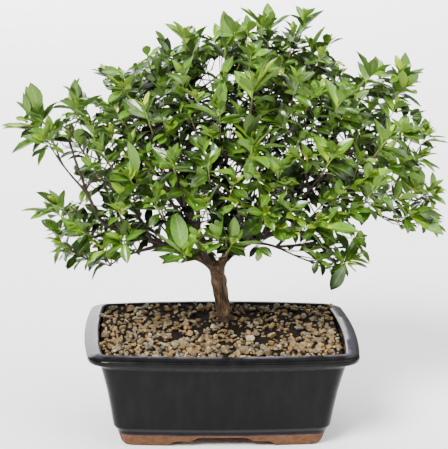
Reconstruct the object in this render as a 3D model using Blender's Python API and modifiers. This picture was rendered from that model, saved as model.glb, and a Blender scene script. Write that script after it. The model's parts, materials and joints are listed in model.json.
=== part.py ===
"""Gardenia bonsai growing in a glazed rectangular pot.

Tables hold millimetres, and a mesh gets metres when it is made. The ground is
z = 0, the pot's centre is on the z axis, its long side runs along x, and its
front is the side at -y. The last step moves the whole model so that its box
stands on the origin.
"""
import math
import random
from collections import namedtuple

import bmesh
import bpy
from mathutils import Matrix, Vector
from mathutils.bvhtree import BVHTree

MM = 0.001                    # metres in a millimetre
GAP = 0.3                     # clearance between neighbouring pieces, mm
WELDS = (0.25, 0.12, 0.05, 0.004)   # corners of a join closer than this become one, mm
UP = Vector((0.0, 0.0, 1.0))

# Pot: half width at a corner, height and corner radius of each level
RIM_HEIGHT = 75.2
DEPTH_STEP = 26.5             # half width less half depth, at every level
END_BOW = 3.4                 # how far the short sides bow out at the rim
FRONT_BOW = 5.5               # how far the long sides bow out at the rim
CORNER_STEPS = 3
FRONT_STEPS = 4
END_STEPS = 3
POT_OUTSIDE = [
    (71.2, 0.0, 7), (73.6, 2.6, 8), (76.2, 12.4, 8), (78.7, 15.8, 10), (80.4, 28.0, 10),
    (82.6, 42.0, 10), (85.0, 54.0, 10), (87.6, 64.2, 11), (89.8, 66.4, 12), (90.6, 69.0, 12),
    (95.4, 68.6, 14), (98.0, 71.2, 16), (97.4, 74.0, 16), (95.2, RIM_HEIGHT, 15)]
POT_INSIDE = [
    (88.6, RIM_HEIGHT, 5), (87.0, 74.0, 4), (85.4, 66.0, 5), (79.0, 40.0, 6), (74.6, 17.5, 7),
    (72.0, 14.6, 6)]

# Underside: a recess that leaves a foot ring, with an arch through each side
RECESS = (62.0, 8.6, 5)       # half width, height and corner radius
ARCH_FOOT = 40.0              # half width of the arch at the ground
ARCH_LEDGE = (35.0, 23.0)     # the ledge's outer and inner ends
ARCH_LEDGE_HEIGHT = 4.6
ARCH_TOP = 17.5               # half width of the arch's flat top
ARCH_HEIGHT = 7.9
SIDE_ARCH_SCALE = 0.56        # the arches in the short sides are narrower
BELOW = 2.0                   # how far a cutter reaches past a face
DRAIN_RADIUS = 9.0
DRAIN_PLACE = 37.0            # the two drainage holes lie at plus and minus this x
DRAIN_SIDES = 12

# Drainage screens: squares of plastic mesh, with wide openings
SCREEN_LINES = [-12.0, -10.2, -0.9, 0.9, 10.2, 12.0]
SCREEN_THICK = 0.8

# Soil and gravel
TRUNK_FOOT = Vector((4.5, 28.0, 0.0))
SOIL_TOP = 66.0
MOUND_TOP = 70.4
MOUND_RADII = (19.0, 9.0)     # where the mound starts and where its top is
TRUNK_HOLE = (6.6, 60.0)      # radius of the soil's hole round the trunk, and its floor
GRAVEL_FLOOR = SOIL_TOP + GAP
GRAVEL_LOW = 67.6             # the creases between stones
GRAVEL_HIGH = (69.4, 72.0)    # lowest and highest corner of a stone's top
STONE_PITCH = 14.2
STONE_TOP = 0.56              # a stone's top as a share of its cell
BARE_RADIUS = 23.0            # bare soil round the trunk

# Limbs: where each one grows from is its first point. Sides of its tube,
# radius at its start and end, and its route.
LIMBS = {
    "trunk": (8, 5.4, 6.0, [(5, 28, 61), (4.5, 28, 71), (2.3, 28, 88), (0.3, 28, 99.5),
                             (-1.4, 28, 110.5), (-2.6, 27, 118)]),
    "left": (6, 4.0, 1.3, [(-0.5, 27.5, 110), (-11, 26, 121), (-29, 20, 128.5), (-52, 14, 139),
                           (-75, 8, 148), (-89, 5, 156), (-97, 4, 174), (-106, 5, 198), (-112, 6, 217)]),
    "right": (6, 4.4, 1.3, [(-3, 28, 110), (2.5, 28, 119.5), (11, 28, 127), (27, 27, 137),
                            (46, 25, 143), (68, 22, 151.5), (94, 20, 157), (115, 19, 159), (128, 16, 164)]),
    "right_high": (6, 2.7, 1.1, [(17, 27.5, 131), (40, 25, 160), (57, 21, 176), (80, 17, 188),
                                 (102, 14, 204), (117, 14, 226)]),
    "right_inner": (4, 1.6, 0.9, [(76, 17.5, 186), (88, 11, 205), (93, 6, 224)]),
    "crown": (6, 3.1, 1.1, [(3, 28, 119), (8, 29, 132), (15, 30, 152), (25, 31, 178), (36, 31, 209),
                            (40, 28, 240), (37, 22, 278)]),
    "crown_left": (6, 2.9, 1.1, [(-5, 27, 116), (-13, 29, 126), (-19, 32, 148), (-24, 34, 174),
                                 (-25, 34, 203), (-20, 30, 232), (-21, 22, 264)]),
    "left_high": (4, 2.0, 1.0, [(-23, 33, 165), (-37, 34, 188), (-52, 32, 214), (-66, 26, 240)]),
    "back_left": (6, 2.7, 1.1, [(-3, 28, 115), (-10, 40, 129), (-22, 56, 148), (-38, 70, 170),
                                (-54, 78, 198)]),
    "back_right": (6, 2.7, 1.1, [(2, 28, 117), (14, 44, 135), (32, 60, 156), (52, 72, 180),
                                 (66, 76, 208)]),
    "back": (4, 2.3, 1.1, [(-7, 36, 125), (-4, 52, 148), (2, 68, 178), (6, 78, 212)]),
    "front_left": (6, 2.5, 1.0, [(-9, 26.5, 119), (-14, 10, 134), (-20, -6, 150), (-28, -22, 168),
                                 (-34, -31, 188)]),
    "front_right": (6, 2.5, 1.0, [(8, 28, 124), (17, 10, 136), (30, -6, 149), (45, -20, 165),
                                  (60, -26, 186)]),
    "front": (4, 2.1, 1.0, [(10, 29, 139), (7, 10, 164), (3, -8, 192), (2, -22, 218)]),
    "low_left": (4, 1.8, 0.9, [(-44, 16, 135), (-60, 6, 133), (-80, 6, 127), (-98, 8, 125.5)]),
    "drooping": (4, 1.6, 0.9, [(22, 27.5, 134), (38, 20, 134), (54, 18, 127), (68, 16, 121.5)]),
    "outer_left": (4, 1.5, 0.9, [(-98, 4, 177), (-110, 0, 191), (-120, 2, 204)]),
    "inner_left": (4, 1.7, 0.9, [(-66, 11, 144), (-76, 18, 158), (-86, 26, 176), (-90, 32, 196)]),
    "front_far_left": (4, 1.7, 0.9, [(-50, 14.5, 138), (-56, -2, 150), (-62, -14, 168), (-66, -22, 186)]),
    "front_far_right": (4, 1.7, 0.9, [(60, 23, 149), (70, 6, 160), (82, -8, 174), (92, -16, 190)]),
}

# Leafy shoots: the middle of each one's leaves, and the tips of those that stand out
Shoot = namedtuple("Shoot", "heart tips")
SHOOTS = {
    # around the outline, from the lower left over the top to the lower right
    "low_left": Shoot((-113, 11, 132), [(-126, 9, 119), (-138, 12, 132)]),
    "left_foot": Shoot((-97, 20, 124), [(-104, 12, 109)]),
    "left_low": Shoot((-123, 6, 163), [(-141, 4, 158), (-137, 10, 177)]),
    "far_left": Shoot((-132, 12, 224), [(-141, 10, 256), (-149, 18, 244), (-161, 14, 227), (-154, 6, 207)]),
    "left_peak": Shoot((-105, 16, 236), [(-86, 10, 251), (-108, 20, 259)]),
    "left_shoulder": Shoot((-74, 14, 255), [(-76, 10, 281), (-88, 18, 268)]),
    "upper_left": Shoot((-47, 12, 266), [(-57, 8, 289)]),
    "top_left": Shoot((-23, 14, 283), [(-35, 14, 304), (-12, 20, 297)]),
    "top_middle": Shoot((1, 12, 283), [(2, 12, 311)]),
    "top": Shoot((33, 20, 295), [(12, 14, 314), (32, 26, 315)]),
    "top_right": Shoot((50, 8, 291), [(70, 10, 314)]),
    "right_shoulder": Shoot((64, 18, 279), [(72, 14, 301)]),
    "upper_right": Shoot((107, 14, 262), [(98, 10, 284)]),
    "right_peak": Shoot((129, 16, 254), [(134, 16, 281), (147, 20, 270)]),
    "right_far": Shoot((143, 12, 201), [(162, 10, 196), (157, 14, 213)]),
    "right_low": Shoot((153, 14, 176), [(164, 8, 188)]),
    "right_end": Shoot((147, 16, 162), [(168, 16, 144), (167, 22, 156)]),
    "drooping": Shoot((95, 18, 122), [(84, 14, 101), (100, 12, 104)]),
    # towards the viewer
    "front_low_left": Shoot((-104, -20, 158), []),
    "front_foot": Shoot((-72, -24, 146), []),
    "front_left_mid": Shoot((-67, -44, 198), []),
    "front_left_low": Shoot((-49, -46, 180), []),
    "front_left_in": Shoot((-38, -52, 212), []),
    "front_upright": Shoot((-33, -27, 141), [(-34, -24, 172)]),
    "front_middle": Shoot((-13, -52, 210), []),
    "front_under": Shoot((-14, -48, 180), []),
    "front_left_high": Shoot((-56, -40, 244), []),
    "front_top_left": Shoot((-31, -32, 268), []),
    "front_top": Shoot((-5, -44, 246), [(-5, -46, 268)]),
    "front_crown": Shoot((18, -40, 260), [(33, -42, 287)]),
    "front_top_right": Shoot((49, -34, 264), []),
    "front_right_high": Shoot((80, -34, 252), []),
    "front_heart": Shoot((17, -52, 221), [(30, -54, 239), (5, -54, 237)]),
    "front_heart_right": Shoot((38, -50, 205), []),
    "front_right_mid": Shoot((74, -45, 214), []),
    "front_right_out": Shoot((114, -31, 224), []),
    "front_right_low": Shoot((108, -34, 190), []),
    "front_whorl": Shoot((27, -46, 172), [(20, -47, 189), (43, -50, 180)]),
    "front_right_foot": Shoot((64, -38, 165), []),
    "front_lowest": Shoot((1, -38, 152), []),
    "front_far_left": Shoot((-86, -34, 214), []),
    # away from the viewer
    "back_far_left": Shoot((-108, 54, 204), []),
    "back_left_low": Shoot((-82, 70, 164), []),
    "back_left_high": Shoot((-74, 72, 236), []),
    "back_left_in": Shoot((-42, 92, 196), []),
    "back_top_left": Shoot((-30, 76, 262), []),
    "back_middle": Shoot((2, 100, 222), []),
    "back_low": Shoot((-8, 88, 164), []),
    "back_top_right": Shoot((30, 80, 264), []),
    "back_right_in": Shoot((46, 94, 188), []),
    "back_right_high": Shoot((76, 78, 236), []),
    "back_right_low": Shoot((84, 72, 166), []),
    "back_far_right": Shoot((112, 54, 200), []),
    "back_outer_right": Shoot((118, 48, 240), []),
}
SEED = 41
SHOOT_SPREAD = Vector((4.0, 28.0, 128.0))  # shoots point away from here
SHOOT_LIFT = 0.5              # and this much more upwards
SHOOT_LENGTH = 19.0
HEART_HEIGHT = 0.8            # of the shoot's length
STEM_RADIUS = (1.12, 0.98)    # of the green shoot, at its foot and its tip
TWIG_RADIUS = (1.55, 1.25)    # of the woody twig that carries it
TWIG_SIDES = 3
MIN_TWIG = 14.0               # length of the shortest twig
LONG_TWIG = 34.0              # a longer twig bends twice
TWIG_TRIES = 14               # twigs tried for each place of a shoot
SHIFT_TRIES = 16              # places tried for a shoot, to clear its neighbours
SHIFT_STEP = 0.8              # each one this much further from the heart
LEAF_TRIES = 16
TIP_STEP = 0.45               # each try for a chosen tip lies this much further off

# Leaves stand in crossed pairs: height on the shoot, angle from its axis, length
LEAF_ROWS = [(0.30, 74.0, 27.0), (0.56, 60.0, 30.0), (0.80, 40.0, 25.0)]
SHOOT_LEAVES = 5                # on a shoot, and one more where some have chosen tips
LEAF_THICK = 0.7
LEAF_WIDTH = 0.40             # of its length
LEAF_FOLD = 0.32              # how far the halves rise from the midrib, of the half width
LEAF_CLEAR = 0.5              # space kept round a leaf
BLADE_STATIONS = (0.38, 0.68)   # where the outline has its corners, along the leaf
BLADE_WIDTHS = (0.90, 0.82)     # half widths there, as a share of the widest
BLADE_MIDDLE = 0.54             # where the faces meet on the midrib

Leaf = namedtuple("Leaf", "root direction normal length width arch")


def material(name, colour, roughness):
    """A plain finish in one colour."""
    finish = bpy.data.materials.new(name)
    finish.use_nodes = True
    shader = finish.node_tree.nodes["Principled BSDF"]
    shader.inputs["Base Color"].default_value = (*colour, 1.0)
    shader.inputs["Roughness"].default_value = roughness
    shader.inputs["Metallic"].default_value = 0.0
    return finish


def group(name):
    """A collection in the scene."""
    collection = bpy.data.collections.new(name)
    bpy.context.scene.collection.children.link(collection)
    return collection


def add_object(name, mesh, finish=None):
    """An object in the model's collection, or a cutter where it has no finish."""
    body = bpy.data.objects.new(name, mesh)
    if finish is None:
        body.hide_render = True
        body.display_type = "WIRE"
        CUTTERS.objects.link(body)
    else:
        mesh.materials.append(finish)
        MODEL.objects.link(body)
    return body


def mesh_from(name, bm):
    """Turn a bmesh into a mesh with its faces pointing out."""
    mesh = bpy.data.meshes.new(name)
    bm.to_mesh(mesh)
    bm.free()
    return mesh


def evaluated_mesh(body):
    """The mesh of an object as its modifiers or its curve leave it."""
    bpy.context.view_layer.update()
    return bpy.data.meshes.new_from_object(body.evaluated_get(bpy.context.evaluated_depsgraph_get()))


def remove(body):
    """Delete an object and the mesh or curve that only it used."""
    data = body.data
    bpy.data.objects.remove(body)
    if isinstance(data, bpy.types.Mesh):
        bpy.data.meshes.remove(data)
    else:
        bpy.data.curves.remove(data)


def cut(body, operation, cutter):
    """Cut a body with another one, which stays as a guide."""
    modifier = body.modifiers.new(cutter.name, "BOOLEAN")
    modifier.operation = operation
    modifier.object = cutter


def loft(name, rings, finish=None):
    """A closed body through rings of equal point count, up outside and down inside."""
    bm = bmesh.new()
    loops = [[bm.verts.new(Vector(point) * MM) for point in ring] for ring in rings]
    for low, high in zip(loops, loops[1:]):
        for i, vertex in enumerate(low):
            j = (i + 1) % len(low)
            bm.faces.new((vertex, low[j], high[j], high[i]))
    bm.faces.new(reversed(loops[0]))
    bm.faces.new(loops[-1])
    return add_object(name, mesh_from(name, bm), finish)


def extruded(name, outline, half_length):
    """A flat outline in x and z, drawn out along y as a cutter."""
    curve = bpy.data.curves.new(name, "CURVE")
    curve.dimensions = "2D"
    curve.fill_mode = "BOTH"
    curve.extrude = half_length * MM
    spline = curve.splines.new("POLY")
    spline.points.add(len(outline) - 1)
    spline.use_cyclic_u = True
    for point, (x, z) in zip(spline.points, outline):
        point.co = (x * MM, z * MM, 0.0, 1.0)
    drawn = bpy.data.objects.new(name, curve)
    CUTTERS.objects.link(drawn)
    mesh = evaluated_mesh(drawn)
    remove(drawn)
    bm = bmesh.new()
    bm.from_mesh(mesh)
    bmesh.ops.remove_doubles(bm, verts=bm.verts, dist=0.0001 * MM)
    bmesh.ops.transform(bm, matrix=Matrix.Rotation(math.radians(90.0), 4, "X"), verts=bm.verts)
    bm.to_mesh(mesh)
    bm.free()
    return add_object(name, mesh)


def pot_outline(half_width, height, radius, inset=0.0):
    """One level of the pot: a rectangle with round corners and bowed sides."""
    half_width -= inset
    half_depth = half_width - DEPTH_STEP
    bow = 0.5 + 0.5 * height / RIM_HEIGHT
    points = []
    for side in range(4):
        normal = Matrix.Rotation(math.radians(90.0 * side), 2) @ Vector((1.0, 0.0))
        along = normal.orthogonal()
        is_end = side % 2 == 0
        reach, run = (half_width, half_depth) if is_end else (half_depth, half_width)
        side_bow, steps = (END_BOW, END_STEPS) if is_end else (FRONT_BOW, FRONT_STEPS)
        run -= radius
        for step in range(1, steps):
            t = 2.0 * step / steps - 1.0
            points.append(normal * (reach + side_bow * bow * (1.0 - t * t)) + along * (t * run))
        centre = normal * (reach - radius) + along * run
        for step in range(CORNER_STEPS + 1):
            angle = math.radians(90.0 * step / CORNER_STEPS)
            points.append(centre + (normal * math.cos(angle) + along * math.sin(angle)) * radius)
    return [(point.x, point.y, height) for point in points]


def inside_level(height, inset):
    """The pot's inner wall at a height, moved in by a clearance."""
    for (wide, top, big), (narrow, bottom, small) in zip(POT_INSIDE, POT_INSIDE[1:]):
        if bottom <= height < top:
            share = (height - bottom) / (top - bottom)
            return pot_outline(narrow + (wide - narrow) * share, height,
                               small + (big - small) * share, inset)
    raise ValueError("no wall at this height")


def make_pot():
    """The fired pot, with its feet, arches and drainage holes."""
    outside = [pot_outline(*level) for level in POT_OUTSIDE]
    inside = [pot_outline(*level) for level in POT_INSIDE]
    pot = loft("pot", outside + inside, material("glazed_pot", (0.028, 0.030, 0.038), 0.22))
    half_width, height, radius = RECESS
    recess = loft("recess_cutter", [[(x, y, z) for x, y, _ in pot_outline(half_width, 0.0, radius)]
                                    for z in (-BELOW, height)])
    arch = [(-ARCH_FOOT, -BELOW), (ARCH_FOOT, -BELOW), (ARCH_FOOT, 0.0),
            (ARCH_LEDGE[0], ARCH_LEDGE_HEIGHT), (ARCH_LEDGE[1], ARCH_LEDGE_HEIGHT),
            (ARCH_TOP, ARCH_HEIGHT), (-ARCH_TOP, ARCH_HEIGHT),
            (-ARCH_LEDGE[1], ARCH_LEDGE_HEIGHT), (-ARCH_LEDGE[0], ARCH_LEDGE_HEIGHT),
            (-ARCH_FOOT, 0.0)]
    reach = POT_OUTSIDE[2][0] + BELOW
    front_arch = extruded("front_arch_cutter", arch, reach - DEPTH_STEP + FRONT_BOW)
    side_arch = extruded("side_arch_cutter", [(x * SIDE_ARCH_SCALE, z) for x, z in arch], reach + END_BOW)
    side_arch.data.transform(Matrix.Rotation(math.radians(90.0), 4, "Z"))
    for cutter in (recess, front_arch, side_arch):
        cut(pot, "DIFFERENCE", cutter)
    for side in (-1, 1):
        cut(pot, "DIFFERENCE", round_cutter("drain_cutter", (side * DRAIN_PLACE, 0.0), DRAIN_RADIUS,
                                            height - BELOW, POT_INSIDE[-1][1] + BELOW, DRAIN_SIDES))
    return pot


def round_cutter(name, place, radius, low, high, sides):
    """An upright cylinder between two heights, to cut a hole with."""
    bm = bmesh.new()
    bmesh.ops.create_cone(bm, cap_ends=True, segments=sides, radius1=radius * MM, radius2=radius * MM,
                          depth=(high - low) * MM)
    bmesh.ops.translate(bm, vec=Vector((*place, (low + high) / 2.0)) * MM, verts=bm.verts)
    return add_object(name, mesh_from(name, bm))


def make_screen(name, x):
    """A square of drainage mesh, laid over a hole in the pot's floor."""
    bm = bmesh.new()
    corners = [[bm.verts.new(Vector((x + u, v, 0.0)) * MM) for u in SCREEN_LINES] for v in SCREEN_LINES]
    cells = len(SCREEN_LINES) - 1
    for row in range(cells):
        for column in range(cells):
            if row % 2 == 0 or column % 2 == 0:
                bm.faces.new((corners[row][column], corners[row][column + 1],
                              corners[row + 1][column + 1], corners[row + 1][column]))
    screen = add_object(name, mesh_from(name, bm), SCREEN_FINISH)
    screen.location.z = (POT_INSIDE[-1][1] + GAP) * MM
    wall = screen.modifiers.new("thickness", "SOLIDIFY")
    wall.thickness = SCREEN_THICK * MM
    wall.offset = 1.0
    return screen


def bare_patch(radius, height, draw):
    """An uneven ring round the trunk, with as many points as a level of the pot."""
    ring = []
    for x, y, _ in inside_level(SOIL_TOP, GAP):
        away = Vector((x, y, 0.0)) - TRUNK_FOOT
        uneven = 1.0 + draw.uniform(-0.12, 0.16)
        point = TRUNK_FOOT + away.normalized() * radius * uneven
        ring.append((point.x, point.y, height))
    return ring


def make_soil():
    """Dark soil that fills the pot, with a low mound and a plain hole for the trunk."""
    low = POT_INSIDE[-1][1] + GAP + SCREEN_THICK + GAP
    draw = random.Random(SEED)
    levels = [low, POT_INSIDE[-2][1], POT_INSIDE[-3][1], SOIL_TOP - 0.01]
    rings = [inside_level(level, GAP) for level in levels]
    rings[-1] = [(x, y, SOIL_TOP) for x, y, _ in rings[-1]]
    for radius, height in zip(MOUND_RADII, (SOIL_TOP, MOUND_TOP)):
        rings.append(bare_patch(radius, height, draw))
    soil = loft("soil", rings, material("dark_soil", (0.020, 0.014, 0.010), 0.95))
    radius, floor = TRUNK_HOLE
    hole = round_cutter("trunk_hole_cutter", TRUNK_FOOT.xy, radius, floor, MOUND_TOP + BELOW, 10)
    cut(soil, "DIFFERENCE", hole)
    return soil


def stone_relief():
    """A slab whose top is raised into packed stones, one in each cell of a jittered honeycomb."""
    draw = random.Random(SEED + 1)
    bm = bmesh.new()
    low_points = {}
    row_step = STONE_PITCH * math.sqrt(3.0) / 2.0
    rows = math.ceil((POT_INSIDE[2][0] - DEPTH_STEP + FRONT_BOW) / row_step) + 1
    columns = math.ceil((POT_INSIDE[2][0] + END_BOW) / STONE_PITCH) + 1
    corner = STONE_PITCH / math.sqrt(3.0)

    def low_point(place):
        key = (round(place.x), round(place.y))
        if key not in low_points:
            shake = Vector((draw.uniform(-1, 1), draw.uniform(-1, 1), draw.uniform(-0.25, 0.25)))
            spot = Vector((place.x, place.y, GRAVEL_LOW)) + shake * (0.16 * STONE_PITCH)
            low_points[key] = bm.verts.new(spot * MM)
        return low_points[key]

    for row in range(-rows, rows + 1):
        for column in range(-columns, columns + 1):
            centre = Vector(((column + 0.5 * (row % 2)) * STONE_PITCH, row * row_step, 0.0))
            rim = [centre + Vector((math.sin(math.radians(60.0 * k)), math.cos(math.radians(60.0 * k)), 0.0))
                   * -corner for k in range(6)]
            rim = [low_point(place) for place in reversed(rim)]
            if draw.random() < 0.5:
                rim = rim[1:] + rim[:1]
            middle = sum((vertex.co for vertex in rim), Vector()) / len(rim)
            top = []
            for vertex in rim[::2]:
                place = middle.lerp(vertex.co, STONE_TOP * draw.uniform(0.75, 1.25))
                place.z = draw.uniform(*GRAVEL_HIGH) * MM
                top.append(bm.verts.new(place))
            bm.faces.new(top)
            for i in range(3):
                before, here, after = rim[2 * i - 1], rim[2 * i], rim[2 * i + 1]
                bm.faces.new((before, here, top[i]))
                bm.faces.new((here, after, top[i]))
                bm.faces.new((after, top[(i + 1) % 3], top[i]))
    edge = [side for side in bm.edges if side.is_boundary]
    wall = bmesh.ops.extrude_edge_only(bm, edges=edge)["geom"]
    lowest = [item for item in wall if isinstance(item, bmesh.types.BMVert)]
    for vertex in lowest:
        vertex.co.z = GRAVEL_FLOOR * MM
    bmesh.ops.contextual_create(bm, geom=[item for item in wall if isinstance(item, bmesh.types.BMEdge)
                                          and item.is_boundary])
    bmesh.ops.recalc_face_normals(bm, faces=bm.faces)
    return mesh_from("gravel", bm)


def make_gravel():
    """The bed of stones, trimmed to the pot and open round the trunk."""
    gravel = add_object("gravel", stone_relief(), material("mixed_stones", (0.42, 0.33, 0.22), 0.8))
    edge = inside_level(GRAVEL_FLOOR, GAP)
    heights = (GRAVEL_FLOOR - BELOW, GRAVEL_HIGH[1] + BELOW)
    trim = loft("gravel_edge_cutter", [[(x, y, z) for x, y, _ in edge] for z in heights])
    opening = loft("bare_soil_cutter", [bare_patch(BARE_RADIUS, z, random.Random(SEED + 2)) for z in heights])
    cut(gravel, "INTERSECT", trim)
    cut(gravel, "DIFFERENCE", opening)
    return gravel


def smooth_route(points, steps):
    """Points along a smooth curve through a route, with steps to each of its spans."""
    places = [Vector(point) for point in points]
    ends = [places[0] * 2 - places[1]] + places + [places[-1] * 2 - places[-2]]
    curve = []
    for a, b, c, d in zip(ends, ends[1:], ends[2:], ends[3:]):
        for step in range(steps):
            t = step / steps
            curve.append(0.5 * (2 * b + (c - a) * t + (2 * a - 5 * b + 4 * c - d) * t * t
                                + (3 * b - a - 3 * c + d) * t ** 3))
    return curve + [places[-1]]


def triangle_profile():
    """A three-cornered section for the thinnest twigs, 1 mm from its middle to a corner."""
    curve = bpy.data.curves.new("twig_section", "CURVE")
    spline = curve.splines.new("POLY")
    spline.points.add(2)
    spline.use_cyclic_u = True
    for k, point in enumerate(spline.points):
        angle = math.radians(120.0 * k)
        point.co = (math.cos(angle) * MM, math.sin(angle) * MM, 0.0, 1.0)
    section = bpy.data.objects.new("twig_section", curve)
    section.hide_render = True
    section.display_type = "WIRE"
    CUTTERS.objects.link(section)
    return section


def tube(name, route, start, end, sides):
    """A closed rod along a route that thins from one radius to another."""
    curve = bpy.data.curves.new(name, "CURVE")
    curve.dimensions = "3D"
    if sides == 3:
        curve.bevel_mode = "OBJECT"
        curve.bevel_object = TRIANGLE
    else:
        curve.bevel_depth = MM
        curve.bevel_resolution = (sides - 4) // 2
    curve.use_fill_caps = True
    spline = curve.splines.new("POLY")
    spline.points.add(len(route) - 1)
    for i, (point, place) in enumerate(zip(spline.points, route)):
        point.co = (*(Vector(place) * MM), 1.0)
        point.radius = start + (end - start) * i / (len(route) - 1)
    drawn = bpy.data.objects.new(name, curve)
    MODEL.objects.link(drawn)
    mesh = evaluated_mesh(drawn)
    remove(drawn)
    bm = bmesh.new()
    bm.from_mesh(mesh)
    bmesh.ops.remove_doubles(bm, verts=bm.verts, dist=0.001 * MM)
    bmesh.ops.recalc_face_normals(bm, faces=bm.faces)
    bm.to_mesh(mesh)
    bm.free()
    return mesh


def stem_mesh(foot, axis, side, grow=0.0, skip=GAP):
    """A straight four-sided shoot, with one of its sides towards a direction."""
    length = SHOOT_LENGTH - skip
    corner = Matrix.Rotation(math.radians(45.0), 3, axis) @ side
    turn = Matrix((corner, axis.cross(corner), axis)).transposed().to_4x4()
    bm = bmesh.new()
    bmesh.ops.create_cone(bm, cap_ends=True, segments=4, radius1=(STEM_RADIUS[0] + grow) * MM,
                          radius2=(STEM_RADIUS[1] + grow) * MM, depth=length * MM)
    place = Matrix.Translation((foot + axis * (skip + length / 2.0)) * MM) @ turn
    bmesh.ops.transform(bm, matrix=place, verts=bm.verts)
    return mesh_from("stem", bm)


def faces_tree(points, faces):
    """A search tree over some faces, with the box round them."""
    low = Vector([min(point[k] for point in points) for k in range(3)])
    high = Vector([max(point[k] for point in points) for k in range(3)])
    return low, high, BVHTree.FromPolygons(points, faces)


def mesh_tree(mesh):
    """A search tree over a mesh, in millimetres."""
    return faces_tree([vertex.co / MM for vertex in mesh.vertices],
                      [tuple(face.vertices) for face in mesh.polygons])


def crosses(one, other):
    """Whether the faces of two trees meet."""
    apart = any(one[0][k] > other[1][k] or other[0][k] > one[1][k] for k in range(3))
    return not apart and bool(one[2].overlap(other[2]))


def limb_points():
    """Places that a twig may leave a limb from, with the limb's direction there."""
    places = []
    for name, (_, _, _, route) in LIMBS.items():
        if name == "trunk":
            continue
        curve = smooth_route(route, 4)
        for i in range(4, len(curve) - 1):
            places.append((name, curve[i], (curve[i + 1] - curve[i - 1]).normalized()))
        places.append((name, curve[-1], (curve[-1] - curve[-2]).normalized()))
    return places


def twigs_to(foot, axis, places):
    """Limbs and routes of twigs that reach a shoot's foot along its axis, the easiest first."""
    def effort(place):
        _, start, heading = place
        way = foot - start
        bends = 2.2 - 0.6 * heading.dot(way.normalized()) - 0.8 * axis.dot(way.normalized())
        return way.length * bends if way.length > MIN_TWIG else math.inf

    for limb, start, heading in sorted(places, key=effort)[:TWIG_TRIES]:
        way = foot - start
        bend = start + (heading * 0.5 + way.normalized() * 0.5) * way.length * 0.38
        near = foot - (axis * 0.7 + way.normalized() * 0.3) * min(7.0, 0.3 * way.length)
        bends = [bend, near] if way.length > LONG_TWIG else [near]
        yield limb, [start] + bends + [foot]


def blade_points(leaf, grow=0.0):
    """Root, outline and middle of a leaf: a long hexagon, arched and folded at its midrib."""
    across = leaf.normal.cross(leaf.direction)
    length = leaf.length + grow
    half = (leaf.width + grow) / 2.0

    def at(station, side):
        rise = LEAF_FOLD * abs(side) * half - leaf.arch * length * station * station
        return (leaf.root + leaf.direction * (station * length) + across * (side * half)
                + leaf.normal * rise)

    (low, high), (wide, slim) = BLADE_STATIONS, BLADE_WIDTHS
    return [at(BLADE_MIDDLE, 0.0), leaf.root, at(low, wide), at(high, slim), at(1.0, 0.0),
            at(high, -slim), at(low, -wide)]


BLADE_FACES = [(1, 2, 6), (0, 2, 3), (0, 3, 4), (0, 4, 5), (0, 5, 6), (0, 6, 2)]


def leaf_tree(leaf, grow=0.0):
    """A search tree over both faces and the edge of a leaf."""
    upper = blade_points(leaf, grow)
    points = [point + leaf.normal * (grow / 2.0) for point in upper]
    points += [point - leaf.normal * (LEAF_THICK + grow / 2.0) for point in upper]
    count = len(upper)
    faces = [tuple(face) for face in BLADE_FACES]
    faces += [tuple(k + count for k in reversed(face)) for face in BLADE_FACES]
    faces += [(k % 6 + 1, k, k + count, k % 6 + 1 + count) for k in range(1, 7)]
    return faces_tree(points, faces)


def make_leaf(name, leaf):
    """A leaf as its own body, ready to be joined to its shoot."""
    bm = bmesh.new()
    vertices = [bm.verts.new(point * MM) for point in blade_points(leaf)]
    for face in BLADE_FACES:
        bm.faces.new([vertices[k] for k in face])
    lower = bmesh.ops.extrude_face_region(bm, geom=bm.faces[:])["geom"]
    bmesh.ops.translate(bm, vec=leaf.normal * (-LEAF_THICK * MM),
                        verts=[item for item in lower if isinstance(item, bmesh.types.BMVert)])
    bmesh.ops.recalc_face_normals(bm, faces=bm.faces)
    return bpy.data.objects.new(name, mesh_from(name, bm))


def leaf_upper_side(direction, axis, roll):
    """The way a leaf's upper face looks: to the light and to its shoot's tip."""
    light = axis * 0.5 + UP * 0.9
    normal = light - direction * light.dot(direction)
    if normal.length < 0.2:
        normal = direction.orthogonal()
    return Matrix.Rotation(roll, 3, direction) @ normal.normalized()


def leaf_choices(foot, axis, side, row, number, draw):
    """Ways to set one leaf of a pair, each a little further from the first."""
    height, tilt, length = row
    for attempt in range(LEAF_TRIES):
        loose = 1.0 + 0.35 * attempt
        turn = math.radians(180.0 * number + 90.0 * LEAF_ROWS.index(row) + draw.uniform(-9.0, 9.0) * loose)
        lean = math.radians(tilt + draw.uniform(-8.0, 8.0) * loose)
        outward = Matrix.Rotation(turn, 3, axis) @ side
        direction = (axis * math.cos(lean) + outward * math.sin(lean)).normalized()
        normal = leaf_upper_side(direction, axis, math.radians(draw.uniform(-20.0, 20.0)))
        long = length * draw.uniform(0.86, 1.18) * (1.0 - 0.02 * attempt)
        root = foot + axis * (SHOOT_LENGTH * (height - 0.03 * number))
        yield Leaf(root, direction, normal, long, long * LEAF_WIDTH * draw.uniform(0.88, 1.12),
                   draw.uniform(0.04, 0.20))


def tip_choices(foot, axis, tip, number, draw):
    """Ways to set a leaf that ends at a chosen place or, where that is taken, close to it."""
    root = foot + axis * (SHOOT_LENGTH * (0.80 - 0.12 * number))
    for attempt in range(LEAF_TRIES):
        shake = Vector([draw.uniform(-1.0, 1.0) for _ in range(3)]) * (TIP_STEP * attempt)
        way = Vector(tip) + shake - root
        direction = way.normalized()
        normal = leaf_upper_side(direction, axis, math.radians(draw.uniform(-15.0, 15.0)))
        arch = draw.uniform(0.03, 0.10)
        yield Leaf(root, direction, normal, way.length, way.length * LEAF_WIDTH, arch)


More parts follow.
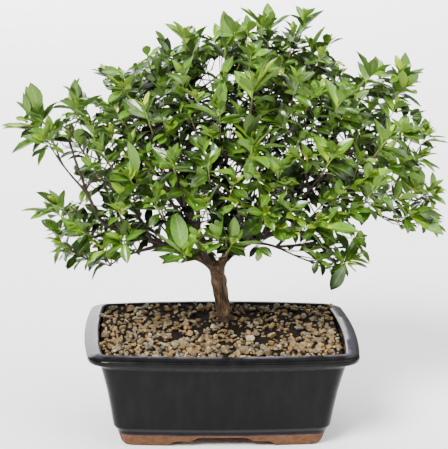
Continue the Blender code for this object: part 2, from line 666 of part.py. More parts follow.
def shoot_choices(shoot, places, draw):
    """Ways to set a shoot and its twig: foot, axis, side and twig, the nearest to its heart first."""
    for attempt in range(SHIFT_TRIES):
        shake = Vector([draw.uniform(-1.0, 1.0) for _ in range(3)]) * (SHIFT_STEP * attempt)
        heart = Vector(shoot.heart) + shake
        axis = ((heart - SHOOT_SPREAD).normalized() + UP * SHOOT_LIFT).normalized()
        foot = heart - axis * (HEART_HEIGHT * SHOOT_LENGTH)
        side = Vector(shoot.tips[0]) - foot if shoot.tips else axis.orthogonal()
        side = (side - axis * side.dot(axis)).normalized()
        for limb, route in twigs_to(foot, axis, places):
            yield foot, axis, side, route, limb


def set_shoots():
    """Settle every shoot and its twig, clear of all the others."""
    places = limb_points()
    limbs = {name: mesh_tree(tube(name, route, start, end, sides))
             for name, (sides, start, end, route) in LIMBS.items()}
    twigs, stems, shoots = {}, {}, {}
    roomy = [radius + LEAF_CLEAR for radius in TWIG_RADIUS]
    for number, (name, shoot) in enumerate(SHOOTS.items()):
        draw = random.Random(SEED * 100 + number)
        for foot, axis, side, route, limb in shoot_choices(shoot, places, draw):
            taken = [tree for other, tree in limbs.items() if other != limb]
            taken += list(twigs.values()) + list(stems.values())
            twig = mesh_tree(tube("probe", route, *roomy, TWIG_SIDES))
            if any(crosses(twig, other) for other in taken):
                continue
            stem = mesh_tree(stem_mesh(foot, axis, side, LEAF_CLEAR, 2.0))
            if not any(crosses(stem, other) for other in taken + [limbs[limb]]):
                break
        twigs[name] = mesh_tree(tube("probe", route, *TWIG_RADIUS, TWIG_SIDES))
        shoots[name] = (foot, axis, side, route)
        stems[name] = mesh_tree(stem_mesh(foot, axis, side))
    return shoots, stems, list(limbs.values()) + list(twigs.values())


def set_leaves(shoots, stems, wood):
    """Choose every leaf so that it crosses no wood and no other shoot."""
    others = {name: [] for name in shoots}
    leaves = {name: [] for name in shoots}

    def is_free(leaf, name):
        probe = leaf_tree(leaf, 2.0 * LEAF_CLEAR)
        if any(crosses(probe, tree) for tree in wood):
            return False
        for other in shoots:
            if other != name and any(crosses(probe, tree) for tree in [stems[other]] + others[other]):
                return False
        beyond = leaf._replace(root=leaf.root + leaf.direction * (0.3 * leaf.length),
                               length=0.7 * leaf.length)
        probe = leaf_tree(beyond)
        return not any(crosses(probe, tree) for tree in [stems[name]] + others[name])

    def keep_first(choices, name):
        for leaf in choices:
            if is_free(leaf, name):
                leaves[name].append(leaf)
                others[name].append(leaf_tree(leaf))
                break

    draws = {name: random.Random(SEED * 1000 + number) for number, name in enumerate(shoots)}
    for name, shoot in SHOOTS.items():
        foot, axis, _, _ = shoots[name]
        for number, tip in enumerate(shoot.tips):
            keep_first(tip_choices(foot, axis, tip, number, draws[name]), name)
    for row in reversed(LEAF_ROWS):
        for name in SHOOTS:
            foot, axis, side, _ = shoots[name]
            most = SHOOT_LEAVES + bool(SHOOTS[name].tips)
            for number in range(2):
                if len(leaves[name]) < most:
                    keep_first(leaf_choices(foot, axis, side, row, number, draws[name]), name)
    return leaves


def is_closed(mesh):
    """Whether every edge of a mesh has two faces and the mesh is one piece."""
    bm = bmesh.new()
    bm.from_mesh(mesh)
    closed = bool(bm.faces) and all(edge.is_manifold for edge in bm.edges)
    closed = closed and all(vertex.is_manifold for vertex in bm.verts)
    bm.free()
    return closed


def drop_flaps(bm):
    """Delete pairs of triangles that lie back to back on the same corners."""
    while True:
        seen, flaps = {}, []
        for face in bm.faces:
            twin = seen.setdefault(frozenset(face.verts), face)
            if twin is not face:
                flaps += [face, twin]
        if not flaps:
            break
        bmesh.ops.delete(bm, geom=flaps, context="FACES")


def largest_piece(mesh, weld):
    """Weld a joined mesh, split it into triangles and drop loose scraps."""
    bm = bmesh.new()
    bm.from_mesh(mesh)
    bmesh.ops.triangulate(bm, faces=bm.faces)
    drop_flaps(bm)
    bmesh.ops.remove_doubles(bm, verts=bm.verts, dist=weld * MM)
    drop_flaps(bm)
    left = set(bm.verts)
    pieces = []
    while left:
        piece, queue = set(), [left.pop()]
        while queue:
            vertex = queue.pop()
            piece.add(vertex)
            for edge in vertex.link_edges:
                other = edge.other_vert(vertex)
                if other in left:
                    left.remove(other)
                    queue.append(other)
        pieces.append(piece)
    keep = max(pieces, key=len)
    bmesh.ops.delete(bm, geom=[vertex for vertex in bm.verts if vertex not in keep], context="VERTS")
    bm.to_mesh(mesh)
    bm.free()


def union(core, parts):
    """One closed mesh of a core and the parts joined to it, or nothing where the join fails."""
    body = bpy.data.objects.new("core", core)
    MODEL.objects.link(body)
    pieces = group("pieces")
    for part in parts:
        pieces.objects.link(part)
    join = body.modifiers.new("join", "BOOLEAN")
    join.operation = "UNION"
    join.operand_type = "COLLECTION"
    join.collection = pieces
    join.solver = "MANIFOLD"
    joined = evaluated_mesh(body)
    bpy.data.objects.remove(body)
    bpy.data.collections.remove(pieces)
    for weld in WELDS:
        mesh = joined.copy()
        largest_piece(mesh, weld)
        if is_closed(mesh):
            bpy.data.meshes.remove(joined)
            return mesh
    return None


def fuse(name, core, parts, finish):
    """Join parts to a core in one closed body; a part that fails to join is left out."""
    mesh = union(core, parts)
    kept = []
    for part in parts if mesh is None else []:
        trial = union(core, kept + [part])
        if trial is not None:
            mesh = trial
            kept.append(part)
    for part in parts:
        remove(part)
    mesh.name = name
    return add_object(name, mesh, finish)


def make_wood(shoots):
    """Trunk, limbs and woody twigs, grown as one piece."""
    trunk, *rest = [tube(name, route, start, end, sides)
                    for name, (sides, start, end, route) in LIMBS.items()]
    rest += [tube("twig", route, *TWIG_RADIUS, TWIG_SIDES) for _, _, _, route in shoots.values()]
    bark = material("bark", (0.16, 0.105, 0.07), 0.85)
    return fuse("wood", trunk, [bpy.data.objects.new("limb", mesh) for mesh in rest], bark)


def make_sprays(shoots, leaves):
    """Each green shoot with its leaves, in one piece."""
    for number, (name, (foot, axis, side, _)) in enumerate(shoots.items()):
        draw = random.Random(SEED + number)
        green = (0.055 * draw.uniform(0.8, 1.5), 0.17 * draw.uniform(0.8, 1.3), 0.022)
        blades = [make_leaf("leaf", leaf) for leaf in leaves[name]]
        fuse("spray_" + name, stem_mesh(foot, axis, side), blades, material("leaves_" + name, green, 0.35))


def stand_on_origin():
    """Carry every piece on an empty that puts the model's box on the origin."""
    bpy.context.view_layer.update()
    stand = bpy.data.objects.new("bonsai_stand", None)
    MODEL.objects.link(stand)
    depsgraph = bpy.context.evaluated_depsgraph_get()
    corners = []
    for body in MODEL.objects:
        if body.type == "MESH":
            seen = body.evaluated_get(depsgraph)
            corners += [seen.matrix_world @ vertex.co for vertex in seen.data.vertices]
    low = [min(corner[k] for corner in corners) for k in range(3)]
    high = [max(corner[k] for corner in corners) for k in range(3)]
    for body in list(MODEL.objects) + list(CUTTERS.objects):
        if body is not stand:
            body.parent = stand
    stand.location = (-(low[0] + high[0]) / 2.0, -(low[1] + high[1]) / 2.0, -low[2])


for leftover in list(bpy.data.objects):
    bpy.data.objects.remove(leftover)
MODEL = group("gardenia_bonsai")
CUTTERS = group("cutters")
SCREEN_FINISH = material("drain_mesh", (0.03, 0.03, 0.03), 0.6)
TRIANGLE = triangle_profile()

make_pot()
for side_name, drain_x in (("left", -DRAIN_PLACE), ("right", DRAIN_PLACE)):
    make_screen("drain_screen_" + side_name, drain_x)
make_soil()
make_gravel()
placed_shoots, placed_stems, placed_wood = set_shoots()
placed_leaves = set_leaves(placed_shoots, placed_stems, placed_wood)
make_wood(placed_shoots)
make_sprays(placed_shoots, placed_leaves)
stand_on_origin()
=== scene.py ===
"""The looks of a gardenia bonsai in its glazed pot.

Tables hold millimetres in the pot's own frame: the ground is z = 0, the pot's
centre is on the z axis and its front is the side at -y. STAND carries them into
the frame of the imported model, in metres.
"""
import json
import math
import random
from collections import namedtuple

import bmesh
import bpy
import numpy as np
from mathutils import Matrix, Vector, noise
from mathutils.bvhtree import BVHTree
from mathutils.kdtree import KDTree

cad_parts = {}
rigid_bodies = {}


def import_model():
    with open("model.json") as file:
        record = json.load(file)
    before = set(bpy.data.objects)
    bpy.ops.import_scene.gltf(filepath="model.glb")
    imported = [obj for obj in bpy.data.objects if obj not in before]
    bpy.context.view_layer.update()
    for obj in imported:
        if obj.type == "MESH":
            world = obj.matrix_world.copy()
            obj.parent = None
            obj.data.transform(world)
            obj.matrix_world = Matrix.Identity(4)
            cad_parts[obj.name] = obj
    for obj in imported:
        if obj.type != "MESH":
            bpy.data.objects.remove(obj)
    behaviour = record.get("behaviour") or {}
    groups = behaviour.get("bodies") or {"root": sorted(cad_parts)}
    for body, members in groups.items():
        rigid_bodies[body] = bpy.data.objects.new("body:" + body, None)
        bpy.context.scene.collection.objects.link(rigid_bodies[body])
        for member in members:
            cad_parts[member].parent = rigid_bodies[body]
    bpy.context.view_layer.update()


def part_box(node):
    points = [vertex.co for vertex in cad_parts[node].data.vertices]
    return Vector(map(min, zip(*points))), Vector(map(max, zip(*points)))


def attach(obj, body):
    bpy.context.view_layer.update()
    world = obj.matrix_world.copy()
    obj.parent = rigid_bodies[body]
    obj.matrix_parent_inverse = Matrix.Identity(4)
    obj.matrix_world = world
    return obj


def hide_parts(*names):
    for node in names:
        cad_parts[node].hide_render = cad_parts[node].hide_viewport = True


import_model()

MM = 0.001
UP = Vector((0.0, 0.0, 1.0))
POT_LOW, POT_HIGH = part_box("pot")
STAND = Vector(((POT_LOW.x + POT_HIGH.x) / 2.0, (POT_LOW.y + POT_HIGH.y) / 2.0, POT_LOW.z))

# Camera: where it looks, how it is turned and how long its lens is
VIEW_TARGET = Vector((1.5, 0.0, 154.8))
VIEW_DISTANCE = 1329.15
VIEW_PITCH, VIEW_YAW, VIEW_ROLL = math.radians(14.454), math.radians(3.1), math.radians(0.851)
FOCAL_PIXELS = 1810.4
LONG_SIDE_PIXELS = 449.0
SENSOR = 36.0
CLIP_END = 20.0               # in metres

# Lamps: azimuth from the front to the right, elevation, strength and how broad the source is
SUNS = {"key_light": (-34.0, 43.0, 8.0, 24.0), "side_light": (55.0, 40.0, 2.0, 50.0),
        "top_light": (150.0, 74.0, 3.0, 60.0)}
PANEL = ((-0.68, 2.6, 0.95), 72.0, 2.84, 1.3)   # place in metres, power, width and height
PANEL_TARGET = Vector((0.0, 0.0, 0.15))         # what it faces
PANEL_COLOUR = (0.96, 0.96, 1.0)
WORLD_STRENGTH = 0.4
FLOOR_SIZE = 14.0

# Pot: half width at a corner, height and corner radius of each level
RIM_HEIGHT = 75.2             # at its inner edge
RIM_EDGE = 73.9               # and at its outer edge: it slopes outwards
DEPTH_STEP = 26.5             # half width less half depth, at every level
END_BOW = 3.4                 # how far the short sides bow out at the rim
FRONT_BOW = 5.5               # how far the long sides bow out at the rim
FOOT_BOW = 0.5                # share of the bow that is left at the ground
CORNER_STEPS = 9
FRONT_STEPS = 22
END_STEPS = 16
POT_OUTSIDE = [
    (71.2, 0.0, 7), (73.6, 2.6, 8), (76.6, 12.4, 8), (79.3, 15.8, 10), (81.1, 28.0, 10),
    (83.4, 42.0, 10), (86.0, 54.0, 10), (88.7, 64.2, 11), (90.9, 66.4, 12), (91.6, 68.8, 12),
    (96.8, 68.4, 15), (98.0, 71.0, 16), (97.5, 73.0, 16), (95.0, RIM_EDGE, 15)]
POT_INSIDE = [
    (88.6, RIM_HEIGHT, 5), (87.0, 74.0, 4), (85.4, 66.0, 5), (79.0, 40.0, 6), (74.6, 17.5, 7),
    (72.0, 14.6, 6)]
ROUNDING = 1.1                # radius of the soft corners in the pot's section
ARC_STEPS = (0.0, 0.33, 0.67, 1.0)   # places of the points along one
ARC_REACH = 0.45              # the most of a side that a soft corner takes up
BEVEL = 0.6                   # width of the bevels on its cut edges
BEVEL_FROM = 48.0             # degrees between two faces from which their edge is bevelled
RECESS = (62.0, 8.6, 5)       # under the floor: half width, height and corner radius
ARCH_FOOT = 40.0              # half width of an arch at the ground
ARCH_LEDGE = (35.0, 23.0)     # and at the outer and inner end of its ledge
ARCH_LEDGE_HEIGHT = 4.6
ARCH_TOP = 17.5               # half width where it is highest
ARCH_HEIGHT = 7.9
ARCH_ROUNDING = 2.0
SIDE_ARCH_SCALE = 0.56        # width of the arches at the ends, against the front and back ones
BELOW = 2.0                   # how far a cutter reaches past a face
DRAIN_RADIUS = 9.0
DRAIN_PLACE = 37.0            # of a hole, from the pot's middle
DRAIN_DEPTH = 10.0
GLAZE_EDGE = 9.6              # height where the glaze ends

# Soil and stones
TRUNK_FOOT = Vector((4.5, 28.0, 0.0))
SOIL_FLOOR = 16.0
SOIL_TOP = 68.4               # between the stones
MOUND_TOP = 70.9              # at the trunk
MOUND_REACH = 13.0            # how far from the trunk the mound falls off
BACK_RISE = 5.2               # how much higher the earth lies along the back wall
RISE_START = -10.0            # it rises from this place towards the back
RISE_RUN = 70.0
LUMPS = [(0.11, 0.0, 1.1), (0.42, 5.0, 0.9)]   # fineness, place in the noise and height of its lumps
SOIL_RINGS = 60               # on its top
RING_CROWD = 0.9              # how evenly they lie: below 1 they crowd towards the trunk
RING_REACH = 0.99             # and how far in to the trunk the last one lies
STONE_SHAPES = 9
STONE_CUTS = 9                # planes that cut a shape out of a ball, and how far out they lie
CUT_PLACE = (0.5, 0.8)
STONE_MERGE = 0.14            # points of a shape closer than this become one
STONE_SIZE = (2.2, 7.6)
COMMON_SIZE = 3.1             # the most frequent one
STONE_WIDTH = (0.28, 0.46)    # half of it, and half of the thickness, of the size
STONE_THICKNESS = (0.22, 0.40)
STONE_TILT = 0.45             # how far stones lean, in radians
STONE_ROOM = 0.42             # how far a stone reaches to each side, of its size
STONE_FOLLOW = 0.8            # how closely stones follow the earth's height
STONE_LEVELS = [(67.6, 5.2, 0.7), (70.0, 4.7, 1.5)]   # height, spacing and unevenness of each layer
STONE_SHAKE = 2.2             # how far a stone strays from its place in the layer
STONE_RUN = -0.8              # how much further than its room a stone keeps from the wall
GRAVEL_REACH = (95.0, 70.0)   # half width and depth of the layers before the wall bounds them
PATCH_CORE = 0.4              # share of a bare patch's radius with no stone at all
BIG_FLAT = (0.5, 0.42, 0.33)  # half length, width and thickness of a large stone, of its size
BIG_RISE = 1.0                # how much higher it lies
# Larger stones that stand out: x, y, size and colour
BIG_STONES = [
    (-28, -22, 9.5, 0.93), (-23, -41, 8.0, 0.62), (-11, -29, 9.0, 0.18), (-10, -43, 8.0, 0.66),
    (1, -41, 7.5, 0.42), (16, -36, 11.0, 0.42), (32, -43, 10.0, 0.42), (26, -3, 7.0, 0.42),
    (38, -6, 8.0, 0.12), (-4, 34, 7.5, 0.25), (-76, -33, 9.0, 0.42), (-23, 0, 7.0, 0.62),
    (60, 9, 7.5, 0.50), (65, 34, 8.0, 0.42), (35, 51, 8.0, 0.42), (46, 57, 7.0, 0.50),
    (-25, 19, 8.0, 0.56), (-80, 53, 8.0, 0.50), (-67, 48, 9.0, 0.56), (-55, 56, 7.0, 0.50),
    (88, 57, 7.0, 0.62), (71, -18, 8.0, 0.42), (-90, -29, 8.0, 0.62), (-89, 37, 8.0, 0.50)]
# Where earth shows between the stones: x, y and radius
BARE_PATCHES = [(4.5, 28.0, 13.0), (-12.0, 38.0, 14.0), (-24.0, 50.0, 10.0), (24.0, 36.0, 11.0),
                (40.0, 2.0, 12.0), (57.0, 10.0, 12.0), (-40.0, 46.0, 8.0), (14.0, 8.0, 10.0),
                (-16.0, 12.0, 10.0), (30.0, -14.0, 9.0), (-34.0, 0.0, 10.0), (66.0, 26.0, 9.0),
                (62.0, 44.0, 8.0), (2.0, -22.0, 8.0), (-44.0, -18.0, 7.0)]

# Limbs: sides of the coarse tube, radius at its start and end, and its route
LIMBS = {
    "trunk": (8, 5.4, 6.0, [(5, 28, 61), (4.5, 28, 71), (2.3, 28, 88), (0.3, 28, 99.5),
                             (-1.4, 28, 110.5), (-2.6, 27, 118)]),
    "left": (6, 4.0, 1.3, [(-0.5, 27.5, 110), (-11, 26, 121), (-29, 20, 128.5), (-52, 14, 139),
                           (-75, 8, 148), (-89, 5, 156), (-97, 4, 174), (-106, 5, 198), (-112, 6, 217)]),
    "right": (6, 4.4, 1.3, [(-3, 28, 110), (2.5, 28, 119.5), (11, 28, 127), (27, 27, 137),
                            (46, 25, 143), (68, 22, 151.5), (94, 20, 157), (115, 19, 159), (128, 16, 164)]),
    "right_high": (6, 2.7, 1.1, [(17, 27.5, 131), (40, 25, 160), (57, 21, 176), (80, 17, 188),
                                 (102, 14, 204), (117, 14, 226)]),
    "right_inner": (4, 1.6, 0.9, [(76, 17.5, 186), (88, 11, 205), (93, 6, 224)]),
    "crown": (6, 3.1, 1.1, [(3, 28, 119), (8, 29, 132), (15, 30, 152), (25, 31, 178), (36, 31, 209),
                            (40, 28, 240), (37, 22, 278)]),
    "crown_left": (6, 2.9, 1.1, [(-5, 27, 116), (-13, 29, 126), (-19, 32, 148), (-24, 34, 174),
                                 (-25, 34, 203), (-20, 30, 232), (-21, 22, 264)]),
    "left_high": (4, 2.0, 1.0, [(-23, 33, 165), (-37, 34, 188), (-52, 32, 214), (-66, 26, 240)]),
    "back_left": (6, 2.7, 1.1, [(-3, 28, 115), (-10, 40, 129), (-22, 56, 148), (-38, 70, 170),
                                (-54, 78, 198)]),
    "back_right": (6, 2.7, 1.1, [(2, 28, 117), (14, 44, 135), (32, 60, 156), (52, 72, 180),
                                 (66, 76, 208)]),
    "back": (4, 2.3, 1.1, [(-7, 36, 125), (-4, 52, 148), (2, 68, 178), (6, 78, 212)]),
    "front_left": (6, 2.5, 1.0, [(-9, 26.5, 119), (-14, 10, 134), (-20, -6, 150), (-28, -22, 168),
                                 (-34, -31, 188)]),
    "front_right": (6, 2.5, 1.0, [(8, 28, 124), (17, 10, 136), (30, -6, 149), (45, -20, 165),
                                  (60, -26, 186)]),
    "front": (4, 2.1, 1.0, [(10, 29, 139), (7, 10, 164), (3, -8, 192), (2, -22, 218)]),
    "low_left": (4, 1.8, 0.9, [(-44, 16, 135), (-60, 6, 133), (-80, 6, 127), (-98, 8, 125.5)]),
    "drooping": (4, 1.6, 0.9, [(22, 27.5, 134), (38, 20, 134), (54, 18, 127), (68, 16, 121.5)]),
    "outer_left": (4, 1.5, 0.9, [(-98, 4, 177), (-110, 0, 191), (-120, 2, 204)]),
    "inner_left": (4, 1.7, 0.9, [(-66, 11, 144), (-76, 18, 158), (-86, 26, 176), (-90, 32, 196)]),
    "front_far_left": (4, 1.7, 0.9, [(-50, 14.5, 138), (-56, -2, 150), (-62, -14, 168), (-66, -22, 186)]),
    "front_far_right": (4, 1.7, 0.9, [(60, 23, 149), (70, 6, 160), (82, -8, 174), (92, -16, 190)]),
}
SURFACE_ROOTS = [[(4, 27, 74), (-2, 24, 71.2), (-8, 21, 68.5)], [(6, 28, 75), (12, 30, 70.5), (16, 33, 68)],
                 [(4.5, 27, 73), (6, 20, 70.5), (6, 15, 68)], [(4, 29, 74), (1, 36, 70.5), (-2, 40, 68)]]
ROOT_RADIUS = (3.4, 1.0)

# Leafy shoots: the middle of each one's leaves, and the tips of those that stand out
Shoot = namedtuple("Shoot", "heart tips")
SHOOTS = {
    # around the outline, from the lower left over the top to the lower right
    "low_left": Shoot((-113, 11, 132), [(-126, 9, 119), (-138, 12, 132)]),
    "left_foot": Shoot((-97, 20, 124), [(-104, 12, 109)]),
    "left_low": Shoot((-123, 6, 163), [(-141, 4, 158), (-137, 10, 177)]),
    "far_left": Shoot((-132, 12, 224), [(-141, 10, 256), (-149, 18, 244), (-161, 14, 227), (-154, 6, 207)]),
    "left_peak": Shoot((-105, 16, 236), [(-86, 10, 251), (-108, 20, 259)]),
    "left_shoulder": Shoot((-74, 14, 255), [(-76, 10, 281), (-88, 18, 268)]),
    "upper_left": Shoot((-47, 12, 266), [(-57, 8, 289)]),
    "top_left": Shoot((-23, 14, 283), [(-35, 14, 304), (-12, 20, 297)]),
    "top_middle": Shoot((1, 12, 283), [(2, 12, 311)]),
    "top": Shoot((33, 20, 295), [(12, 14, 314), (32, 26, 315)]),
    "top_right": Shoot((50, 8, 291), [(70, 10, 314)]),
    "right_shoulder": Shoot((64, 18, 279), [(72, 14, 301)]),
    "upper_right": Shoot((107, 14, 262), [(98, 10, 284)]),
    "right_peak": Shoot((129, 16, 254), [(134, 16, 281), (147, 20, 270)]),
    "right_far": Shoot((143, 12, 201), [(162, 10, 196), (157, 14, 213)]),
    "right_low": Shoot((153, 14, 176), [(164, 8, 188)]),
    "right_end": Shoot((147, 16, 162), [(168, 16, 144), (167, 22, 156)]),
    "drooping": Shoot((95, 18, 122), [(84, 14, 101), (100, 12, 104)]),
    # towards the viewer
    "front_low_left": Shoot((-104, -20, 158), []),
    "front_foot": Shoot((-72, -24, 146), []),
    "front_left_mid": Shoot((-67, -44, 198), []),
    "front_left_low": Shoot((-49, -46, 180), []),
    "front_left_in": Shoot((-38, -52, 212), []),
    "front_upright": Shoot((-33, -27, 141), [(-34, -24, 172)]),
    "front_middle": Shoot((-13, -52, 210), []),
    "front_under": Shoot((-14, -48, 180), []),
    "front_left_high": Shoot((-56, -40, 244), []),
    "front_top_left": Shoot((-31, -32, 268), []),
    "front_top": Shoot((-5, -44, 246), [(-5, -46, 268)]),
    "front_crown": Shoot((18, -40, 260), [(33, -42, 287)]),
    "front_top_right": Shoot((49, -34, 264), []),
    "front_right_high": Shoot((80, -34, 252), []),
    "front_heart": Shoot((17, -52, 221), [(30, -54, 239), (5, -54, 237)]),
    "front_heart_right": Shoot((38, -50, 205), []),
    "front_right_mid": Shoot((74, -45, 214), []),
    "front_right_out": Shoot((114, -31, 224), []),
    "front_right_low": Shoot((108, -34, 190), []),
    "front_whorl": Shoot((27, -46, 172), [(20, -47, 189), (43, -50, 180)]),
    "front_right_foot": Shoot((64, -38, 165), []),
    "front_lowest": Shoot((1, -38, 152), []),
    "front_far_left": Shoot((-86, -34, 214), []),
    # away from the viewer
    "back_far_left": Shoot((-108, 54, 204), []),
    "back_left_low": Shoot((-82, 70, 164), []),
    "back_left_high": Shoot((-74, 72, 236), []),
    "back_left_in": Shoot((-42, 92, 196), []),
    "back_top_left": Shoot((-30, 76, 262), []),
    "back_middle": Shoot((2, 100, 222), []),
    "back_low": Shoot((-8, 88, 164), []),
    "back_top_right": Shoot((30, 80, 264), []),
    "back_right_in": Shoot((46, 94, 188), []),
    "back_right_high": Shoot((76, 78, 236), []),
    "back_right_low": Shoot((84, 72, 166), []),
    "back_far_right": Shoot((112, 54, 200), []),
    "back_outer_right": Shoot((118, 48, 240), []),
}
SEED = 41
GAP = 0.3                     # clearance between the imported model's pieces
SHOOT_SPREAD = Vector((4.0, 28.0, 128.0))  # shoots point away from here
SHOOT_LIFT = 0.5              # and this much more upwards
SHOOT_LENGTH = 19.0
HEART_HEIGHT = 0.8            # of the shoot's length
STEM_RADIUS = (1.12, 0.98)    # of a solid shoot, at its foot and tip
TWIG_RADIUS = (1.55, 1.25)    # of a solid twig, at its start and end
TWIG_SIDES = 3
STEM_SKIP = 2.0               # length at a shoot's foot that isn't tested against the wood
MIN_TWIG = 14.0               # the shortest twig
LONG_TWIG = 34.0              # a twig longer than this bends twice
TWIG_TRIES = 14               # places on the limbs that a twig is tried from
EFFORT = (2.2, 0.6, 0.8)      # of a twig for its length, and what it saves by starting and ending straight
TWIG_BEND = 0.38              # place of its first bend, of its length
TWIG_END = (7.0, 0.3)         # the last bend is no further than this from its end, nor than this share
LIMB_STEPS = 4                # places for twigs on each span of a limb
SHIFT_TRIES = 16              # places tried for a shoot, and how much further off each one is
SHIFT_STEP = 0.8
LEAF_TRIES = 16
LEAF_LOOSER = 0.35            # how much more each try may stray, and how much shorter the leaf is
LEAF_SHORTER = 0.02
TIP_STEP = 0.45               # how much further from its tip each try may end
TIP_ARCH = (0.03, 0.10)
TIP_ROOTS = (0.80, 0.12)      # height of the first leaf with a chosen tip, and the step down to the next
LEAF_ROWS = [(0.30, 74.0, 27.0), (0.56, 60.0, 30.0), (0.80, 40.0, 25.0)]   # height, angle and length
LEAF_TURN, LEAF_LEAN, LEAF_ROLL, TIP_ROLL = 9.0, 8.0, 20.0, 15.0           # how far they stray, in degrees
PAIR_STEP = 0.03              # how much lower the second leaf of a pair sits
LIGHT = (0.5, 0.9)            # how much a leaf's upper face turns to its shoot's tip and to the sky
LEAF_LONGER = (0.86, 1.18)
LEAF_WIDER = (0.88, 1.12)
LEAF_ARCH = (0.04, 0.20)
SHOOT_LEAVES = 5              # or one more on a shoot with chosen tips
LEAF_THICK = 0.7
LEAF_WIDTH = 0.40             # of the length
LEAF_FOLD = 0.32              # how much its halves rise, of their width
LEAF_CLEAR = 0.5              # clearance between leaves
CELL = 24.0                   # size of the cells that leaves are sorted into
BLADE_STATIONS = (0.38, 0.68)  # places along a coarse leaf, half widths there and its middle
BLADE_WIDTHS = (0.90, 0.82)
BLADE_MIDDLE = 0.54

# The finer crown: more leaves on each shoot, and more shoots between them.
# Rows of leaves hold their height on the shoot, angle, length and number of leaves
YOUNG_ROWS = [(0.96, 30.0, 13.0, 3), (1.02, 12.0, 9.0, 2)]
OLD_ROWS = [(0.40, 66.0, 16.0, 3), (0.10, 80.0, 14.0, 2)]
WHORL_ROWS = [(1.02, 13.0, 9.0, 3), (0.94, 34.0, 14.0, 3), (0.72, 56.0, 17.0, 3), (0.42, 74.0, 15.0, 2)]
TUFT_ROWS = [(1.02, 13.0, 9.0, 3), (0.88, 42.0, 12.5, 2), (0.50, 70.0, 13.0, 2)]
INNER_ROWS = [(1.0, 20.0, 10.0, 2), (0.72, 50.0, 14.0, 2), (0.42, 66.0, 14.0, 2), (0.14, 76.0, 12.0, 2)]
